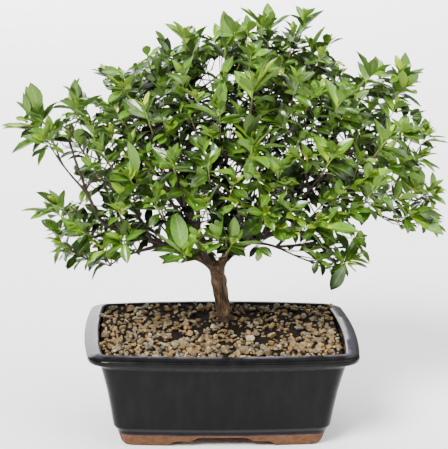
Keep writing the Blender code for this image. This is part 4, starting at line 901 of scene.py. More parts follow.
def rod_curve(name, routes, sides):
    """Rods as one curve. Each route is a list of points in metres and their radii in millimetres."""
    curve = bpy.data.curves.new(name, "CURVE")
    curve.dimensions = "3D"
    if sides == 3:
        curve.bevel_mode = "OBJECT"
        curve.bevel_object = TRIANGLE
    else:
        curve.bevel_depth = MM
        curve.bevel_resolution = (sides - 4) // 2
    curve.use_fill_caps = True
    for points, radii in routes:
        spline = curve.splines.new("POLY")
        spline.points.add(len(points) - 1)
        for point, spot, radius in zip(spline.points, points, radii):
            point.co = (*spot, 1.0)
            point.radius = radius
    return add_object(name, curve)


def coarse_tube(route, start, end, sides):
    """A search tree over a plain tube along a route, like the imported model's."""
    last = len(route) - 1
    radii = [start + (end - start) * i / last for i in range(last + 1)]
    drawn = rod_curve("tube", [([Vector(spot) * MM for spot in route], radii)], sides)
    bpy.context.view_layer.update()
    mesh = bpy.data.meshes.new_from_object(drawn.evaluated_get(bpy.context.evaluated_depsgraph_get()))
    bpy.data.curves.remove(drawn.data)
    bm = bmesh.new()
    bm.from_mesh(mesh)
    bmesh.ops.remove_doubles(bm, verts=bm.verts, dist=0.001 * MM)
    bmesh.ops.recalc_face_normals(bm, faces=bm.faces)
    bm.to_mesh(mesh)
    bm.free()
    return mesh_tree(mesh)


def coarse_stem(foot, axis, side, grow=0.0, skip=GAP):
    """A search tree over a straight four-sided shoot, with one of its sides towards a direction."""
    length = SHOOT_LENGTH - skip
    corner = Matrix.Rotation(math.radians(45.0), 3, axis) @ side
    turn = Matrix((corner, axis.cross(corner), axis)).transposed().to_4x4()
    bm = bmesh.new()
    bmesh.ops.create_cone(bm, cap_ends=True, segments=4, radius1=(STEM_RADIUS[0] + grow) * MM,
                          radius2=(STEM_RADIUS[1] + grow) * MM, depth=length * MM)
    bmesh.ops.transform(bm, matrix=Matrix.Translation((foot + axis * (skip + length / 2.0)) * MM) @ turn,
                        verts=bm.verts)
    mesh = bpy.data.meshes.new("stem")
    bm.to_mesh(mesh)
    bm.free()
    return mesh_tree(mesh)


def faces_tree(points, faces):
    """A search tree over some faces, with the box round them."""
    low = Vector([min(point[k] for point in points) for k in range(3)])
    high = Vector([max(point[k] for point in points) for k in range(3)])
    return low, high, BVHTree.FromPolygons(points, faces)


def mesh_tree(mesh):
    """A search tree over a mesh, in millimetres. The mesh is then removed."""
    tree = faces_tree([vertex.co / MM for vertex in mesh.vertices],
                      [tuple(face.vertices) for face in mesh.polygons])
    bpy.data.meshes.remove(mesh)
    return tree


def crosses(one, other):
    """Whether the faces of two trees meet."""
    apart = any(one[0][k] > other[1][k] or other[0][k] > one[1][k] for k in range(3))
    return not apart and bool(one[2].overlap(other[2]))


def limb_points():
    """Places that a twig may leave a limb from, with the limb's direction there."""
    places = []
    for name, (_, _, _, route) in LIMBS.items():
        if name == "trunk":
            continue
        curve = smooth_route(route, LIMB_STEPS)
        for i in range(LIMB_STEPS, len(curve) - 1):
            places.append((name, curve[i], (curve[i + 1] - curve[i - 1]).normalized()))
        places.append((name, curve[-1], (curve[-1] - curve[-2]).normalized()))
    return places


def twigs_to(foot, axis, places):
    """Limbs and routes of twigs that reach a shoot's foot along its axis, the easiest first."""
    def effort(spot):
        _, start, heading = spot
        way = foot - start
        straight = way.normalized()
        bends = EFFORT[0] - EFFORT[1] * heading.dot(straight) - EFFORT[2] * axis.dot(straight)
        return way.length * bends if way.length > MIN_TWIG else math.inf

    for limb, start, heading in sorted(places, key=effort)[:TWIG_TRIES]:
        way = foot - start
        bend = start + (heading * 0.5 + way.normalized() * 0.5) * way.length * TWIG_BEND
        near = foot - (axis * 0.7 + way.normalized() * 0.3) * min(TWIG_END[0], TWIG_END[1] * way.length)
        bends = [bend, near] if way.length > LONG_TWIG else [near]
        yield limb, [start] + bends + [foot]


Leaf = namedtuple("Leaf", "root direction normal length width arch")


def blade_points(leaf, grow=0.0):
    """Root, outline and middle of a coarse leaf: a long hexagon, arched and folded at its midrib."""
    across = leaf.normal.cross(leaf.direction)
    length = leaf.length + grow
    half = (leaf.width + grow) / 2.0

    def at(station, side):
        rise = LEAF_FOLD * abs(side) * half - leaf.arch * length * station * station
        return (leaf.root + leaf.direction * (station * length) + across * (side * half)
                + leaf.normal * rise)

    (low, high), (wide, slim) = BLADE_STATIONS, BLADE_WIDTHS
    return [at(BLADE_MIDDLE, 0.0), leaf.root, at(low, wide), at(high, slim), at(1.0, 0.0),
            at(high, -slim), at(low, -wide)]


BLADE_FACES = [(1, 2, 6), (0, 2, 3), (0, 3, 4), (0, 4, 5), (0, 5, 6), (0, 6, 2)]


def outer_part(leaf, share):
    """What is left of a leaf beyond a share of its length."""
    return leaf._replace(root=leaf.root + leaf.direction * (share * leaf.length),
                         length=(1.0 - share) * leaf.length)


def leaf_tree(leaf, grow=0.0):
    """A search tree over both faces and the edge of a coarse leaf."""
    upper = blade_points(leaf, grow)
    points = [point + leaf.normal * (grow / 2.0) for point in upper]
    points += [point - leaf.normal * (LEAF_THICK + grow / 2.0) for point in upper]
    count = len(upper)
    faces = [tuple(face) for face in BLADE_FACES]
    faces += [tuple(k + count for k in reversed(face)) for face in BLADE_FACES]
    faces += [(k % 6 + 1, k, k + count, k % 6 + 1 + count) for k in range(1, 7)]
    return faces_tree(points, faces)


def leaf_upper_side(direction, axis, roll):
    """The way a leaf's upper face looks: to the light and to its shoot's tip."""
    light = axis * LIGHT[0] + UP * LIGHT[1]
    normal = light - direction * light.dot(direction)
    if normal.length < 0.2:
        normal = direction.orthogonal()
    return Matrix.Rotation(roll, 3, direction) @ normal.normalized()


def leaf_choices(foot, axis, side, row, number, draw, turned=None, long_shoot=SHOOT_LENGTH, wild=1.0):
    """Ways to set one leaf of a pair, each a little further from the first."""
    height, tilt, length = row
    if turned is None:
        turned = 90.0 * LEAF_ROWS.index(row)
    for attempt in range(LEAF_TRIES):
        loose = (1.0 + LEAF_LOOSER * attempt) * wild
        turn = math.radians(180.0 * number + turned + draw.uniform(-LEAF_TURN, LEAF_TURN) * loose)
        lean = math.radians(tilt + draw.uniform(-LEAF_LEAN, LEAF_LEAN) * loose)
        outward = Matrix.Rotation(turn, 3, axis) @ side
        direction = (axis * math.cos(lean) + outward * math.sin(lean)).normalized()
        roll = math.radians(draw.uniform(-LEAF_ROLL, LEAF_ROLL) * wild)
        normal = leaf_upper_side(direction, axis, roll)
        long = length * draw.uniform(*LEAF_LONGER) * (1.0 - LEAF_SHORTER * attempt)
        root = foot + axis * (long_shoot * (height - PAIR_STEP * number))
        yield Leaf(root, direction, normal, long, long * LEAF_WIDTH * draw.uniform(*LEAF_WIDER),
                   draw.uniform(*LEAF_ARCH))


def tip_choices(foot, axis, tip, number, draw):
    """Ways to set a leaf that ends at a chosen place or, where that is taken, close to it."""
    root = foot + axis * (SHOOT_LENGTH * (TIP_ROOTS[0] - TIP_ROOTS[1] * number))
    for attempt in range(LEAF_TRIES):
        way = Vector(tip) + shaken(draw, TIP_STEP * attempt) - root
        direction = way.normalized()
        normal = leaf_upper_side(direction, axis, math.radians(draw.uniform(-TIP_ROLL, TIP_ROLL)))
        yield Leaf(root, direction, normal, way.length, way.length * LEAF_WIDTH, draw.uniform(*TIP_ARCH))


def shoot_choices(shoot, places, draw):
    """Ways to set a shoot and its twig: foot, axis, side and twig, the nearest to its heart first."""
    for attempt in range(SHIFT_TRIES):
        heart = Vector(shoot.heart) + shaken(draw, SHIFT_STEP * attempt)
        axis = ((heart - SHOOT_SPREAD).normalized() + UP * SHOOT_LIFT).normalized()
        foot = heart - axis * (HEART_HEIGHT * SHOOT_LENGTH)
        side = Vector(shoot.tips[0]) - foot if shoot.tips else axis.orthogonal()
        side = (side - axis * side.dot(axis)).normalized()
        for limb, route in twigs_to(foot, axis, places):
            yield foot, axis, side, route, limb


def set_shoots():
    """Settle every shoot and its twig, clear of all the others."""
    places = limb_points()
    limbs = {name: coarse_tube(route, start, end, sides)
             for name, (sides, start, end, route) in LIMBS.items()}
    twigs, stems, shoots = {}, {}, {}
    roomy = [radius + LEAF_CLEAR for radius in TWIG_RADIUS]
    for number, (name, shoot) in enumerate(SHOOTS.items()):
        draw = random.Random(SEED * 100 + number)
        for foot, axis, side, route, limb in shoot_choices(shoot, places, draw):
            taken = [tree for other, tree in limbs.items() if other != limb]
            taken += list(twigs.values()) + list(stems.values())
            twig = coarse_tube(route, *roomy, TWIG_SIDES)
            if any(crosses(twig, other) for other in taken):
                continue
            stem = coarse_stem(foot, axis, side, LEAF_CLEAR, STEM_SKIP)
            if not any(crosses(stem, other) for other in taken + [limbs[limb]]):
                break
        twigs[name] = coarse_tube(route, *TWIG_RADIUS, TWIG_SIDES)
        shoots[name] = (foot, axis, side, route)
        stems[name] = coarse_stem(foot, axis, side)
    return shoots, stems, list(limbs.values()) + list(twigs.values())


def set_leaves(shoots, stems, wood):
    """Choose the main leaves so that they cross no wood and no other shoot."""
    others = {name: [] for name in shoots}
    leaves = {name: [] for name in shoots}

    def is_free(leaf, name):
        probe = leaf_tree(leaf, 2.0 * LEAF_CLEAR)
        if any(crosses(probe, tree) for tree in wood):
            return False
        for other in shoots:
            if other != name and any(crosses(probe, tree) for tree in [stems[other]] + others[other]):
                return False
        probe = leaf_tree(outer_part(leaf, MAIN_INNER_HALF))
        return not any(crosses(probe, tree) for tree in [stems[name]] + others[name])

    def keep_first(choices, name):
        for leaf in choices:
            if is_free(leaf, name):
                leaves[name].append(leaf)
                others[name].append(leaf_tree(leaf))
                break

    draws = {name: random.Random(SEED * 1000 + number) for number, name in enumerate(shoots)}
    for name, shoot in SHOOTS.items():
        foot, axis, _, _ = shoots[name]
        for number, tip in enumerate(shoot.tips):
            keep_first(tip_choices(foot, axis, tip, number, draws[name]), name)
    for row in reversed(LEAF_ROWS):
        for name in SHOOTS:
            foot, axis, side, _ = shoots[name]
            most = SHOOT_LEAVES + bool(SHOOTS[name].tips)
            for number in range(2):
                if len(leaves[name]) < most:
                    keep_first(leaf_choices(foot, axis, side, row, number, draws[name]), name)
    return leaves


class Crowd:
    """Search trees sorted into cells, so that a new one is tested only against its neighbours."""

    def __init__(self):
        self.cells = {}

    def keys(self, tree):
        """The cells that a tree's box reaches into."""
        spans = [range(int(tree[0][k] // CELL), int(tree[1][k] // CELL) + 1) for k in range(3)]
        return [(i, j, k) for i in spans[0] for j in spans[1] for k in spans[2]]

    def add(self, trees):
        """Sort more trees in."""
        for tree in trees:
            for key in self.keys(tree):
                self.cells.setdefault(key, []).append(tree)

    def is_free(self, tree):
        """Whether a tree meets none of those sorted in."""
        near = {id(other): other for key in self.keys(tree) for other in self.cells.get(key, [])}
        return not any(crosses(tree, other) for other in near.values())


def pot_outline(half_width, height, radius, inset=0.0):
    """One level of the pot: a rectangle with round corners and bowed sides."""
    half_width -= inset
    half_depth = half_width - DEPTH_STEP
    bow = FOOT_BOW + (1.0 - FOOT_BOW) * height / RIM_HEIGHT
    points = []
    for side in range(4):
        normal = Matrix.Rotation(math.radians(90.0 * side), 2) @ Vector((1.0, 0.0))
        along = normal.orthogonal()
        is_end = side % 2 == 0
        reach, run = (half_width, half_depth) if is_end else (half_depth, half_width)
        side_bow, steps = (END_BOW, END_STEPS) if is_end else (FRONT_BOW, FRONT_STEPS)
        run -= radius
        for step in range(1, steps):
            t = 2.0 * step / steps - 1.0
            points.append(normal * (reach + side_bow * bow * (1.0 - t * t)) + along * (t * run))
        centre = normal * (reach - radius) + along * run
        for step in range(CORNER_STEPS + 1):
            angle = math.radians(90.0 * step / CORNER_STEPS)
            points.append(centre + (normal * math.cos(angle) + along * math.sin(angle)) * radius)
    return [(point.x, point.y, height) for point in points]


def inside_level(height, inset):
    """The pot's inner wall at a height, moved in by a clearance."""
    for (wide, top, big), (narrow, bottom, small) in zip(POT_INSIDE, POT_INSIDE[1:]):
        if bottom <= height < top:
            share = (height - bottom) / (top - bottom)
            return pot_outline(narrow + (wide - narrow) * share, height,
                               small + (big - small) * share, inset)
    raise ValueError("no wall at this height")


def rounded(points, radius):
    """A path with its corners turned into short arcs."""
    places = [Vector(point) for point in points]
    path = [places[0]]
    for before, corner, after in zip(places, places[1:], places[2:]):
        ways = [before - corner, after - corner]
        start, end = (corner + way * min(ARC_REACH, radius / way.length) for way in ways)
        for t in ARC_STEPS:
            path.append(start.lerp(corner, t).lerp(corner.lerp(end, t), t))
    return path + [places[-1]]


def drawn_out(name, rings):
    """A closed body: a disc whose face is extruded through a row of rings."""
    deselect()
    bpy.ops.mesh.primitive_circle_add(vertices=len(rings[0]), fill_type="NGON")
    body = bpy.context.object
    body.name = name
    here = [place(point) for point in rings[0]]
    for vertex, spot in zip(body.data.vertices, here):
        vertex.co = spot
    bpy.ops.object.mode_set(mode="EDIT")
    bpy.ops.mesh.select_all(action="SELECT")
    for ring in rings[1:]:
        bpy.ops.mesh.extrude_region_move()
        bm = bmesh.from_edit_mesh(body.data)
        order = {tuple(spot): i for i, spot in enumerate(here)}
        there = [place(point) for point in ring]
        for vertex in bm.verts:
            if vertex.select:
                vertex.co = there[order[tuple(vertex.co)]]
        here = there
    bpy.ops.mesh.select_all(action="SELECT")
    bpy.ops.mesh.normals_make_consistent(inside=False)
    bpy.ops.object.mode_set(mode="OBJECT")
    return body


def make_active(body):
    """Select one object alone."""
    deselect()
    body.select_set(True)
    bpy.context.view_layer.objects.active = body


def apply(body, kind, **settings):
    """Add a modifier and apply it."""
    make_active(body)
    modifier = body.modifiers.new(kind.lower(), kind)
    for name, value in settings.items():
        setattr(modifier, name, value)
    bpy.ops.object.modifier_apply(modifier=modifier.name)


def cut_with(body, cutter):
    """Take a cutter's shape out of a body."""
    apply(body, "BOOLEAN", operation="DIFFERENCE", object=cutter)
    bpy.data.objects.remove(cutter)


def make_pot(finish):
    """The pot with soft edges: rim, lip, neck, feet, arches and drainage holes."""
    outside = rounded(POT_OUTSIDE, ROUNDING)
    inside = rounded(POT_INSIDE, ROUNDING)
    pot = drawn_out("glazed_pot", [pot_outline(*level) for level in outside + inside])
    half_width, height, radius = RECESS
    cut_with(pot, drawn_out("recess_cutter", [
        [(x, y, z) for x, y, _ in pot_outline(half_width, 0.0, radius)] for z in (-BELOW, height)]))
    half = [(ARCH_FOOT, 0.0), (ARCH_LEDGE[0], ARCH_LEDGE_HEIGHT), (ARCH_LEDGE[1], ARCH_LEDGE_HEIGHT),
            (ARCH_TOP, ARCH_HEIGHT)]
    arch = half + [(-x, z) for x, z in reversed(half)]
    arch = [(ARCH_FOOT, -BELOW)] + rounded(arch, ARCH_ROUNDING) + [(-ARCH_FOOT, -BELOW)]
    reach = POT_OUTSIDE[2][0] + BELOW
    deep = reach - DEPTH_STEP + FRONT_BOW
    cut_with(pot, drawn_out("front_arch_cutter", [[(x, y, z) for x, z in arch] for y in (-deep, deep)]))
    wide = reach + END_BOW
    cut_with(pot, drawn_out("side_arch_cutter", [
        [(x, y * SIDE_ARCH_SCALE, z) for y, z in arch] for x in (-wide, wide)]))
    for side in (-1, 1):
        deselect()
        middle = Vector((side * DRAIN_PLACE, 0.0, (height + POT_INSIDE[-1][1]) / 2.0))
        bpy.ops.mesh.primitive_cylinder_add(vertices=40, radius=DRAIN_RADIUS * MM,
                                            depth=DRAIN_DEPTH * MM, location=place(middle))
        cut_with(pot, bpy.context.object)
    apply(pot, "BEVEL", width=BEVEL * MM, segments=2, limit_method="ANGLE",
          angle_limit=math.radians(BEVEL_FROM), use_clamp_overlap=True)
    smooth_by_angle(pot.data, 50.0)
    apply(pot, "WEIGHTED_NORMAL", keep_sharp=True, weight=80)
    paint(pot, finish)
    return pot


def soil_height(x, y):
    """Height of the earth between and under the stones: a little higher at the back."""
    away = math.hypot(x - TRUNK_FOOT.x, y - TRUNK_FOOT.y)
    mound = (MOUND_TOP - SOIL_TOP) * math.exp(-(away / MOUND_REACH) ** 2)
    lumps = sum(noise.noise(Vector((x, y, layer)) * fineness) * height for fineness, layer, height in LUMPS)
    return SOIL_TOP + mound + lumps + BACK_RISE * max(0.0, (y - RISE_START) / RISE_RUN)


def make_soil(finish):
    """Earth that fills the pot: rings drawn up its wall and in towards the trunk."""
    rings = [inside_level(height, GAP) for height in (SOIL_FLOOR, POT_INSIDE[-2][1], POT_INSIDE[-3][1])]
    edge = inside_level(SOIL_TOP, GAP)
    for step in range(SOIL_RINGS):
        share = 1.0 - (step / SOIL_RINGS) ** RING_CROWD * RING_REACH
        ring = []
        for x, y, _ in edge:
            px = TRUNK_FOOT.x + (x - TRUNK_FOOT.x) * share
            py = TRUNK_FOOT.y + (y - TRUNK_FOOT.y) * share
            ring.append((px, py, soil_height(px, py)))
        rings.append(ring)
    soil = drawn_out("earth", rings)
    smooth_by_angle(soil.data, 60.0)
    paint(soil, finish)
    return soil


def stone_shape(draw):
    """Points and faces of one angular stone: a ball cut by planes."""
    deselect()
    bpy.ops.mesh.primitive_ico_sphere_add(subdivisions=2, radius=1.0)
    stone = bpy.context.object
    bpy.ops.object.mode_set(mode="EDIT")
    for _ in range(STONE_CUTS):
        way = scatter(draw, 1.0).normalized()
        bpy.ops.mesh.select_all(action="SELECT")
        bpy.ops.mesh.bisect(plane_co=way * draw.uniform(*CUT_PLACE), plane_no=way, use_fill=True,
                            clear_outer=True)
    close_up(STONE_MERGE)
    points = np.array([vertex.co for vertex in stone.data.vertices])
    faces = [tuple(face.vertices) for face in stone.data.polygons]
    bpy.data.objects.remove(stone)
    return points, faces


def inside_pot(x, y, inset):
    """Whether a place lies within the pot's inner wall at the height of the stones."""
    half_width = POT_INSIDE[2][0] - inset
    half_depth = half_width - DEPTH_STEP
    bow_x = END_BOW * (1.0 - min(1.0, abs(y) / half_depth) ** 2)
    bow_y = FRONT_BOW * (1.0 - min(1.0, abs(x) / half_width) ** 2)
    return abs(x) < half_width + bow_x and abs(y) < half_depth + bow_y


def make_gravel(finish):
    """Small stones in two loose layers, thinner round the trunk and on bare patches."""
    draw = random.Random(SEED + 5)
    shapes = [stone_shape(draw) for _ in range(STONE_SHAPES)]
    bed = Growth()

    def lay(x, y, z, kind, turn, halves, shape):
        """Stamp one stone. Halves are its half length, width and thickness."""
        points, faces = shapes[shape]
        middle = place((x, y, z + (soil_height(x, y) - SOIL_TOP) * STONE_FOLLOW))
        spread = points @ np.array(turn @ Matrix.Diagonal(halves)).T * MM + np.array(middle)
        bed.add(spread, faces, [kind] * len(points))

    for number, (x, y, size, kind) in enumerate(BIG_STONES):
        turn = Matrix.Rotation(number * 1.3, 3, "Z") @ Matrix.Rotation(0.3, 3, "X")
        lay(x, y, STONE_LEVELS[-1][0] + BIG_RISE, kind, turn, [size * half for half in BIG_FLAT],
            number % STONE_SHAPES)
    for height, pitch, loose in STONE_LEVELS:
        row_step = pitch * math.sqrt(3.0) / 2.0
        columns, rows = int(GRAVEL_REACH[0] / pitch), int(GRAVEL_REACH[1] / row_step)
        for row in range(-rows, rows + 1):
            for column in range(-columns, columns + 1):
                x = (column + 0.5 * (row % 2)) * pitch + draw.uniform(-STONE_SHAKE, STONE_SHAKE)
                y = row * row_step + draw.uniform(-STONE_SHAKE, STONE_SHAKE)
                size = draw.triangular(*STONE_SIZE, COMMON_SIZE)
                away = min(math.hypot(x - px, y - py) / radius for px, py, radius in BARE_PATCHES)
                stays = min(1.0, max(0.0, (away - PATCH_CORE) / (1.0 - PATCH_CORE)))
                turn = Matrix.Rotation(draw.uniform(0.0, 6.28), 3, "Z")
                turn = turn @ Matrix.Rotation(draw.gauss(0.0, STONE_TILT), 3, "X")
                turn = turn @ Matrix.Rotation(draw.gauss(0.0, STONE_TILT), 3, "Y")
                wide, thick = draw.uniform(*STONE_WIDTH), draw.uniform(*STONE_THICKNESS)
                kind, shape = draw.random(), draw.randrange(STONE_SHAPES)
                rise = draw.uniform(-loose, loose)
                if draw.random() > stays or not inside_pot(x, y, size * STONE_ROOM + STONE_RUN):
                    continue
                if all(math.hypot(x - px, y - py) > big * STONE_ROOM for px, py, big, _ in BIG_STONES):
                    lay(x, y, height + rise, kind, turn, (size * 0.5, size * wide, size * thick), shape)
    return bed.piece("loose_gravel", [finish], sharp=24.0)


def frames_along(path):
    """Direction and two sides at each point of a path, carried along without twist."""
    side = (path[1] - path[0]).orthogonal().normalized()
    frames = []
    for i, point in enumerate(path):
        ahead = (path[min(i + 1, len(path) - 1)] - path[max(i - 1, 0)]).normalized()
        side = (side - ahead * side.dot(ahead)).normalized()
        frames.append((ahead, side, ahead.cross(side)))
    return frames


def rods(name, routes, sides):
    """Round rods as one mesh. Each route is a list of points and their radii, in millimetres."""
    placed = [([place(spot) for spot in points], radii) for points, radii in routes]
    make_active(rod_curve(name, placed, sides))
    bpy.ops.object.convert(target="MESH")
    body = bpy.context.object
    bpy.ops.object.mode_set(mode="EDIT")
    close_up(0.002 * MM)
    return body


def woody_path(route, start, end, draw, wobble=LIMB_WOBBLE, taper=1.0):
    """A finer path along a limb, its bends eased, with its radii, a little uneven."""
    points = smooth_route(route, PATH_STEPS)
    for _ in range(EASING):
        points[1:-1] = [(a + b * 2.0 + c) / 4.0 for a, b, c in zip(points, points[1:], points[2:])]
    count = len(points) - 1
    seed = draw.uniform(0.0, 99.0)
    radii = []
    for i in range(count + 1):
        uneven = 1.0 + wobble * noise.noise(Vector((seed, i * 0.35, 0.0))) * 2.0
        radii.append((end + (start - end) * (1.0 - i / count) ** taper) * uneven)
    return points, radii


def straightened(route):
    """A twig's route, pulled towards the straight line between its ends."""
    return [spot.lerp(route[0].lerp(route[-1], i / (len(route) - 1)), TWIG_STRAIGHT)
            for i, spot in enumerate(route)]


def give_bark(body, paths, relief):
    """Keep on each point its place across and along the limb, and raise the bark's ridges there."""
    samples, tree = [], KDTree(sum(len(points) for points, _ in paths))
    for number, (points, radii) in enumerate(paths):
        run = BARK_SHIFT * number
        for i, (point, frame_here) in enumerate(zip(points, frames_along(points))):
            run += (point - points[i - 1]).length if i else 0.0
            tree.insert(place(point), len(samples))
            samples.append((point, frame_here, radii[i], run))
    tree.balance()
    mesh = body.data
    marks, girths = [], []
    normals = [vertex.normal.copy() for vertex in mesh.vertices]
    for vertex, normal in zip(mesh.vertices, normals):
        _, index, _ = tree.find(vertex.co)
        point, (ahead, side, other), radius, run = samples[index]
        away = (vertex.co - place(point)) / MM
        mark = Vector((away.dot(side), away.dot(other), run + away.dot(ahead)))
        girth = min(1.0, radius / FULL_GIRTH)
        marks += [part * MM for part in mark]
        girths.append(girth)
        if relief:
            rough = sum(
                noise.noise(Vector((mark.x * across, mark.y * across, mark.z * along + layer))) * height
                for across, along, layer, height in BARK_NOISE)
            vertex.co += normal * (rough * relief * (THIN_BARK + girth) * MM)
    mesh.attributes.new("bark", "FLOAT_VECTOR", "POINT").data.foreach_set("vector", marks)
    mesh.attributes.new("girth", "FLOAT", "POINT").data.foreach_set("value", girths)
    mesh.update()


def make_wood(shoots, extra_routes, finish):
    """Trunk and limbs grown together, and the twigs on them."""
    draw = random.Random(SEED + 9)
    paths = []
    for name, (_, start, end, route) in LIMBS.items():
        is_limb = name != "trunk"
        paths.append(woody_path(route, start, end * (LIMB_END if is_limb else 1.0), draw,
                                taper=LIMB_TAPER if is_limb else 1.0))
    paths += [woody_path(route, *ROOT_RADIUS, draw) for route in SURFACE_ROOTS]
    limbs = rods("trunk_and_limbs", paths, LIMB_SIDES)
    apply(limbs, "REMESH", mode="VOXEL", voxel_size=VOXEL * MM)
    apply(limbs, "SMOOTH", factor=0.5, iterations=3)
    give_bark(limbs, paths, BARK_RELIEF)
    twig_paths = [woody_path(straightened(route), *SLIM_TWIG, draw, TWIG_WOBBLE)
                  for _, _, _, route in shoots.values()]
    twig_paths += [woody_path(route, *FINE_TWIG, draw, TWIG_WOBBLE) for route in extra_routes]
    half_width, highest = BARE_TWIG_REACH
    low = [spot for _, spot, _ in limb_points() if spot.z < highest and abs(spot.x) < half_width]
    for _ in range(BARE_TWIGS):
        start = draw.choice(low)
        way = (start - BARE_TWIG_SPREAD).normalized() + scatter(draw, BARE_TWIG_STRAY)
        end = start + way.normalized() * draw.uniform(*BARE_TWIG_LONG)
        bend = start.lerp(end, 0.5) + scatter(draw, BARE_TWIG_BEND)
        twig_paths.append(woody_path([start, bend, end], *BARE_TWIG, draw, TWIG_WOBBLE))
    twigs = rods("woody_twigs", twig_paths, FINE_TWIG_SIDES)
    give_bark(twigs, twig_paths, 0.0)
    for body in (limbs, twigs):
        body.data.shade_smooth()
        paint(body, finish)
    return limbs, twigs


def template(name, rings):
    """Points and faces of a small closed body that is drawn out through rings, in TEMPLATE units."""
    body = drawn_out(name, [[Vector(point) * TEMPLATE for point in ring] for ring in rings])
    bpy.ops.object.mode_set(mode="EDIT")
    close_up(MERGE * MM)
    points = [(vertex.co - STAND) / (TEMPLATE * MM) for vertex in body.data.vertices]
    faces = [tuple(face.vertices) for face in body.data.polygons]
    bpy.data.objects.remove(body)
    return np.round(np.array(points), 3), faces


def leaf_shape():
    """A flat leaf: its places along, across and below, its faces, their UV corners and which face down."""
    section = [(-1.0, 0.0), (-0.5, 0.0), (0.0, 0.0), (0.5, 0.0), (1.0, 0.0), (0.0, -1.0)]
    rings = []
    for station in LEAF_STATIONS:
        open_out = 1.0 if 0.0 < station < 1.0 else POINTED
        rings.append([(x * open_out, y * open_out, station) for x, y in section])
    spots, faces = template("leaf", rings)
    spots[:, :2] = np.round(spots[:, :2] * 2.0) / 2.0
    unders = [float(any(spots[k][1] < 0.0 for k in face)) for face in faces]
    uvs = [((spots[k][0] + 1.0) / 2.0, spots[k][2]) for face in faces for k in face]
    return spots[:, 2], spots[:, 0], -spots[:, 1], faces, uvs, unders


LEAF_ALONG, LEAF_OUT, LEAF_DEPTH, LEAF_FACES, LEAF_UVS, LEAF_UNDERS = leaf_shape()
LEAF_GIRTH = np.interp(LEAF_ALONG, LEAF_STATIONS, LEAF_WIDTHS)
STEM_SPOTS, STEM_FACES = template("stem", [
    [(math.cos(k * math.pi / 3.0), math.sin(k * math.pi / 3.0), share) for k in range(6)]
    for share, _ in STEM_RINGS])


def add_leaf(growth, leaf, tone, draw, calm=1.0):
    """Stamp a fine leaf where a coarse one stands. A calm one bends less."""
    along, out, depth = LEAF_ALONG, LEAF_OUT, LEAF_DEPTH
    half = leaf.width * BROAD / 2.0 * LEAF_GIRTH
    phase, wave = draw.uniform(0.0, 6.28), draw.uniform(0.0, LEAF_WAVE)
    rise = LEAF_FOLD * half * np.abs(out) ** 0.9
    rise += wave * leaf.length * np.sin(along * 9.0 + phase + out * 1.5) * np.abs(out) * LEAF_GIRTH
    rise -= leaf.arch * leaf.length * along ** 2
    rise -= draw.uniform(*CURL) * calm * leaf.length * np.maximum(0.0, along - 0.5) ** 2
    rise -= depth * LEAF_BODY * leaf.length * (0.35 + LEAF_GIRTH)
    side = leaf.normal.cross(leaf.direction)
    twist = draw.uniform(-LEAF_TWIST, LEAF_TWIST) * calm * along
    sway = draw.uniform(-LEAF_SWAY, LEAF_SWAY) * leaf.length * along ** 2
    across, lift = np.array(side), np.array(leaf.normal)
    wide = out * half * np.cos(twist) - rise * np.sin(twist) * 0.5 + sway
    high = rise + out * half * np.sin(twist)
    points = (np.array(leaf.root) + np.outer(along * leaf.length, np.array(leaf.direction))
              + np.outer(wide, across) + np.outer(high, lift))
    growth.add(points * MM + np.array(STAND), LEAF_FACES, [tone] * len(points), LEAF_UVS, LEAF_UNDERS)


def add_stem(growth, foot, axis, side, length, radii):
    """Stamp a slim green stem with a rounded end."""
    x, y, share = STEM_SPOTS.T
    shares, girths = zip(*STEM_RINGS)
    radius = (radii[0] + (radii[1] - radii[0]) * share) * np.interp(share, shares, girths)
    points = (np.array(foot) + np.outer(share * length, np.array(axis))
              + np.outer(x * radius, np.array(side)) + np.outer(y * radius, np.array(axis.cross(side))))
    tones = [max(0.0, part) for part in share.tolist()]
    growth.add(points * MM + np.array(STAND), STEM_FACES, tones, slot=1)


def is_bare(point):
    """Whether a point lies before or behind one of the crown's openings."""
    seen = EYE.lerp(point, (VIEW_PLANE - EYE.y) / (point.y - EYE.y))
    return any(math.hypot(seen.x - x, seen.z - z) < radius for x, z, radius in BARE_VIEWS)


def exposure(point):
    """How far out in the crown a point lies: 0 in its middle and about 1 on its surface."""
    away = point - CROWN_MIDDLE
    return Vector([away[k] / CROWN_REACH[k] for k in range(3)]).length


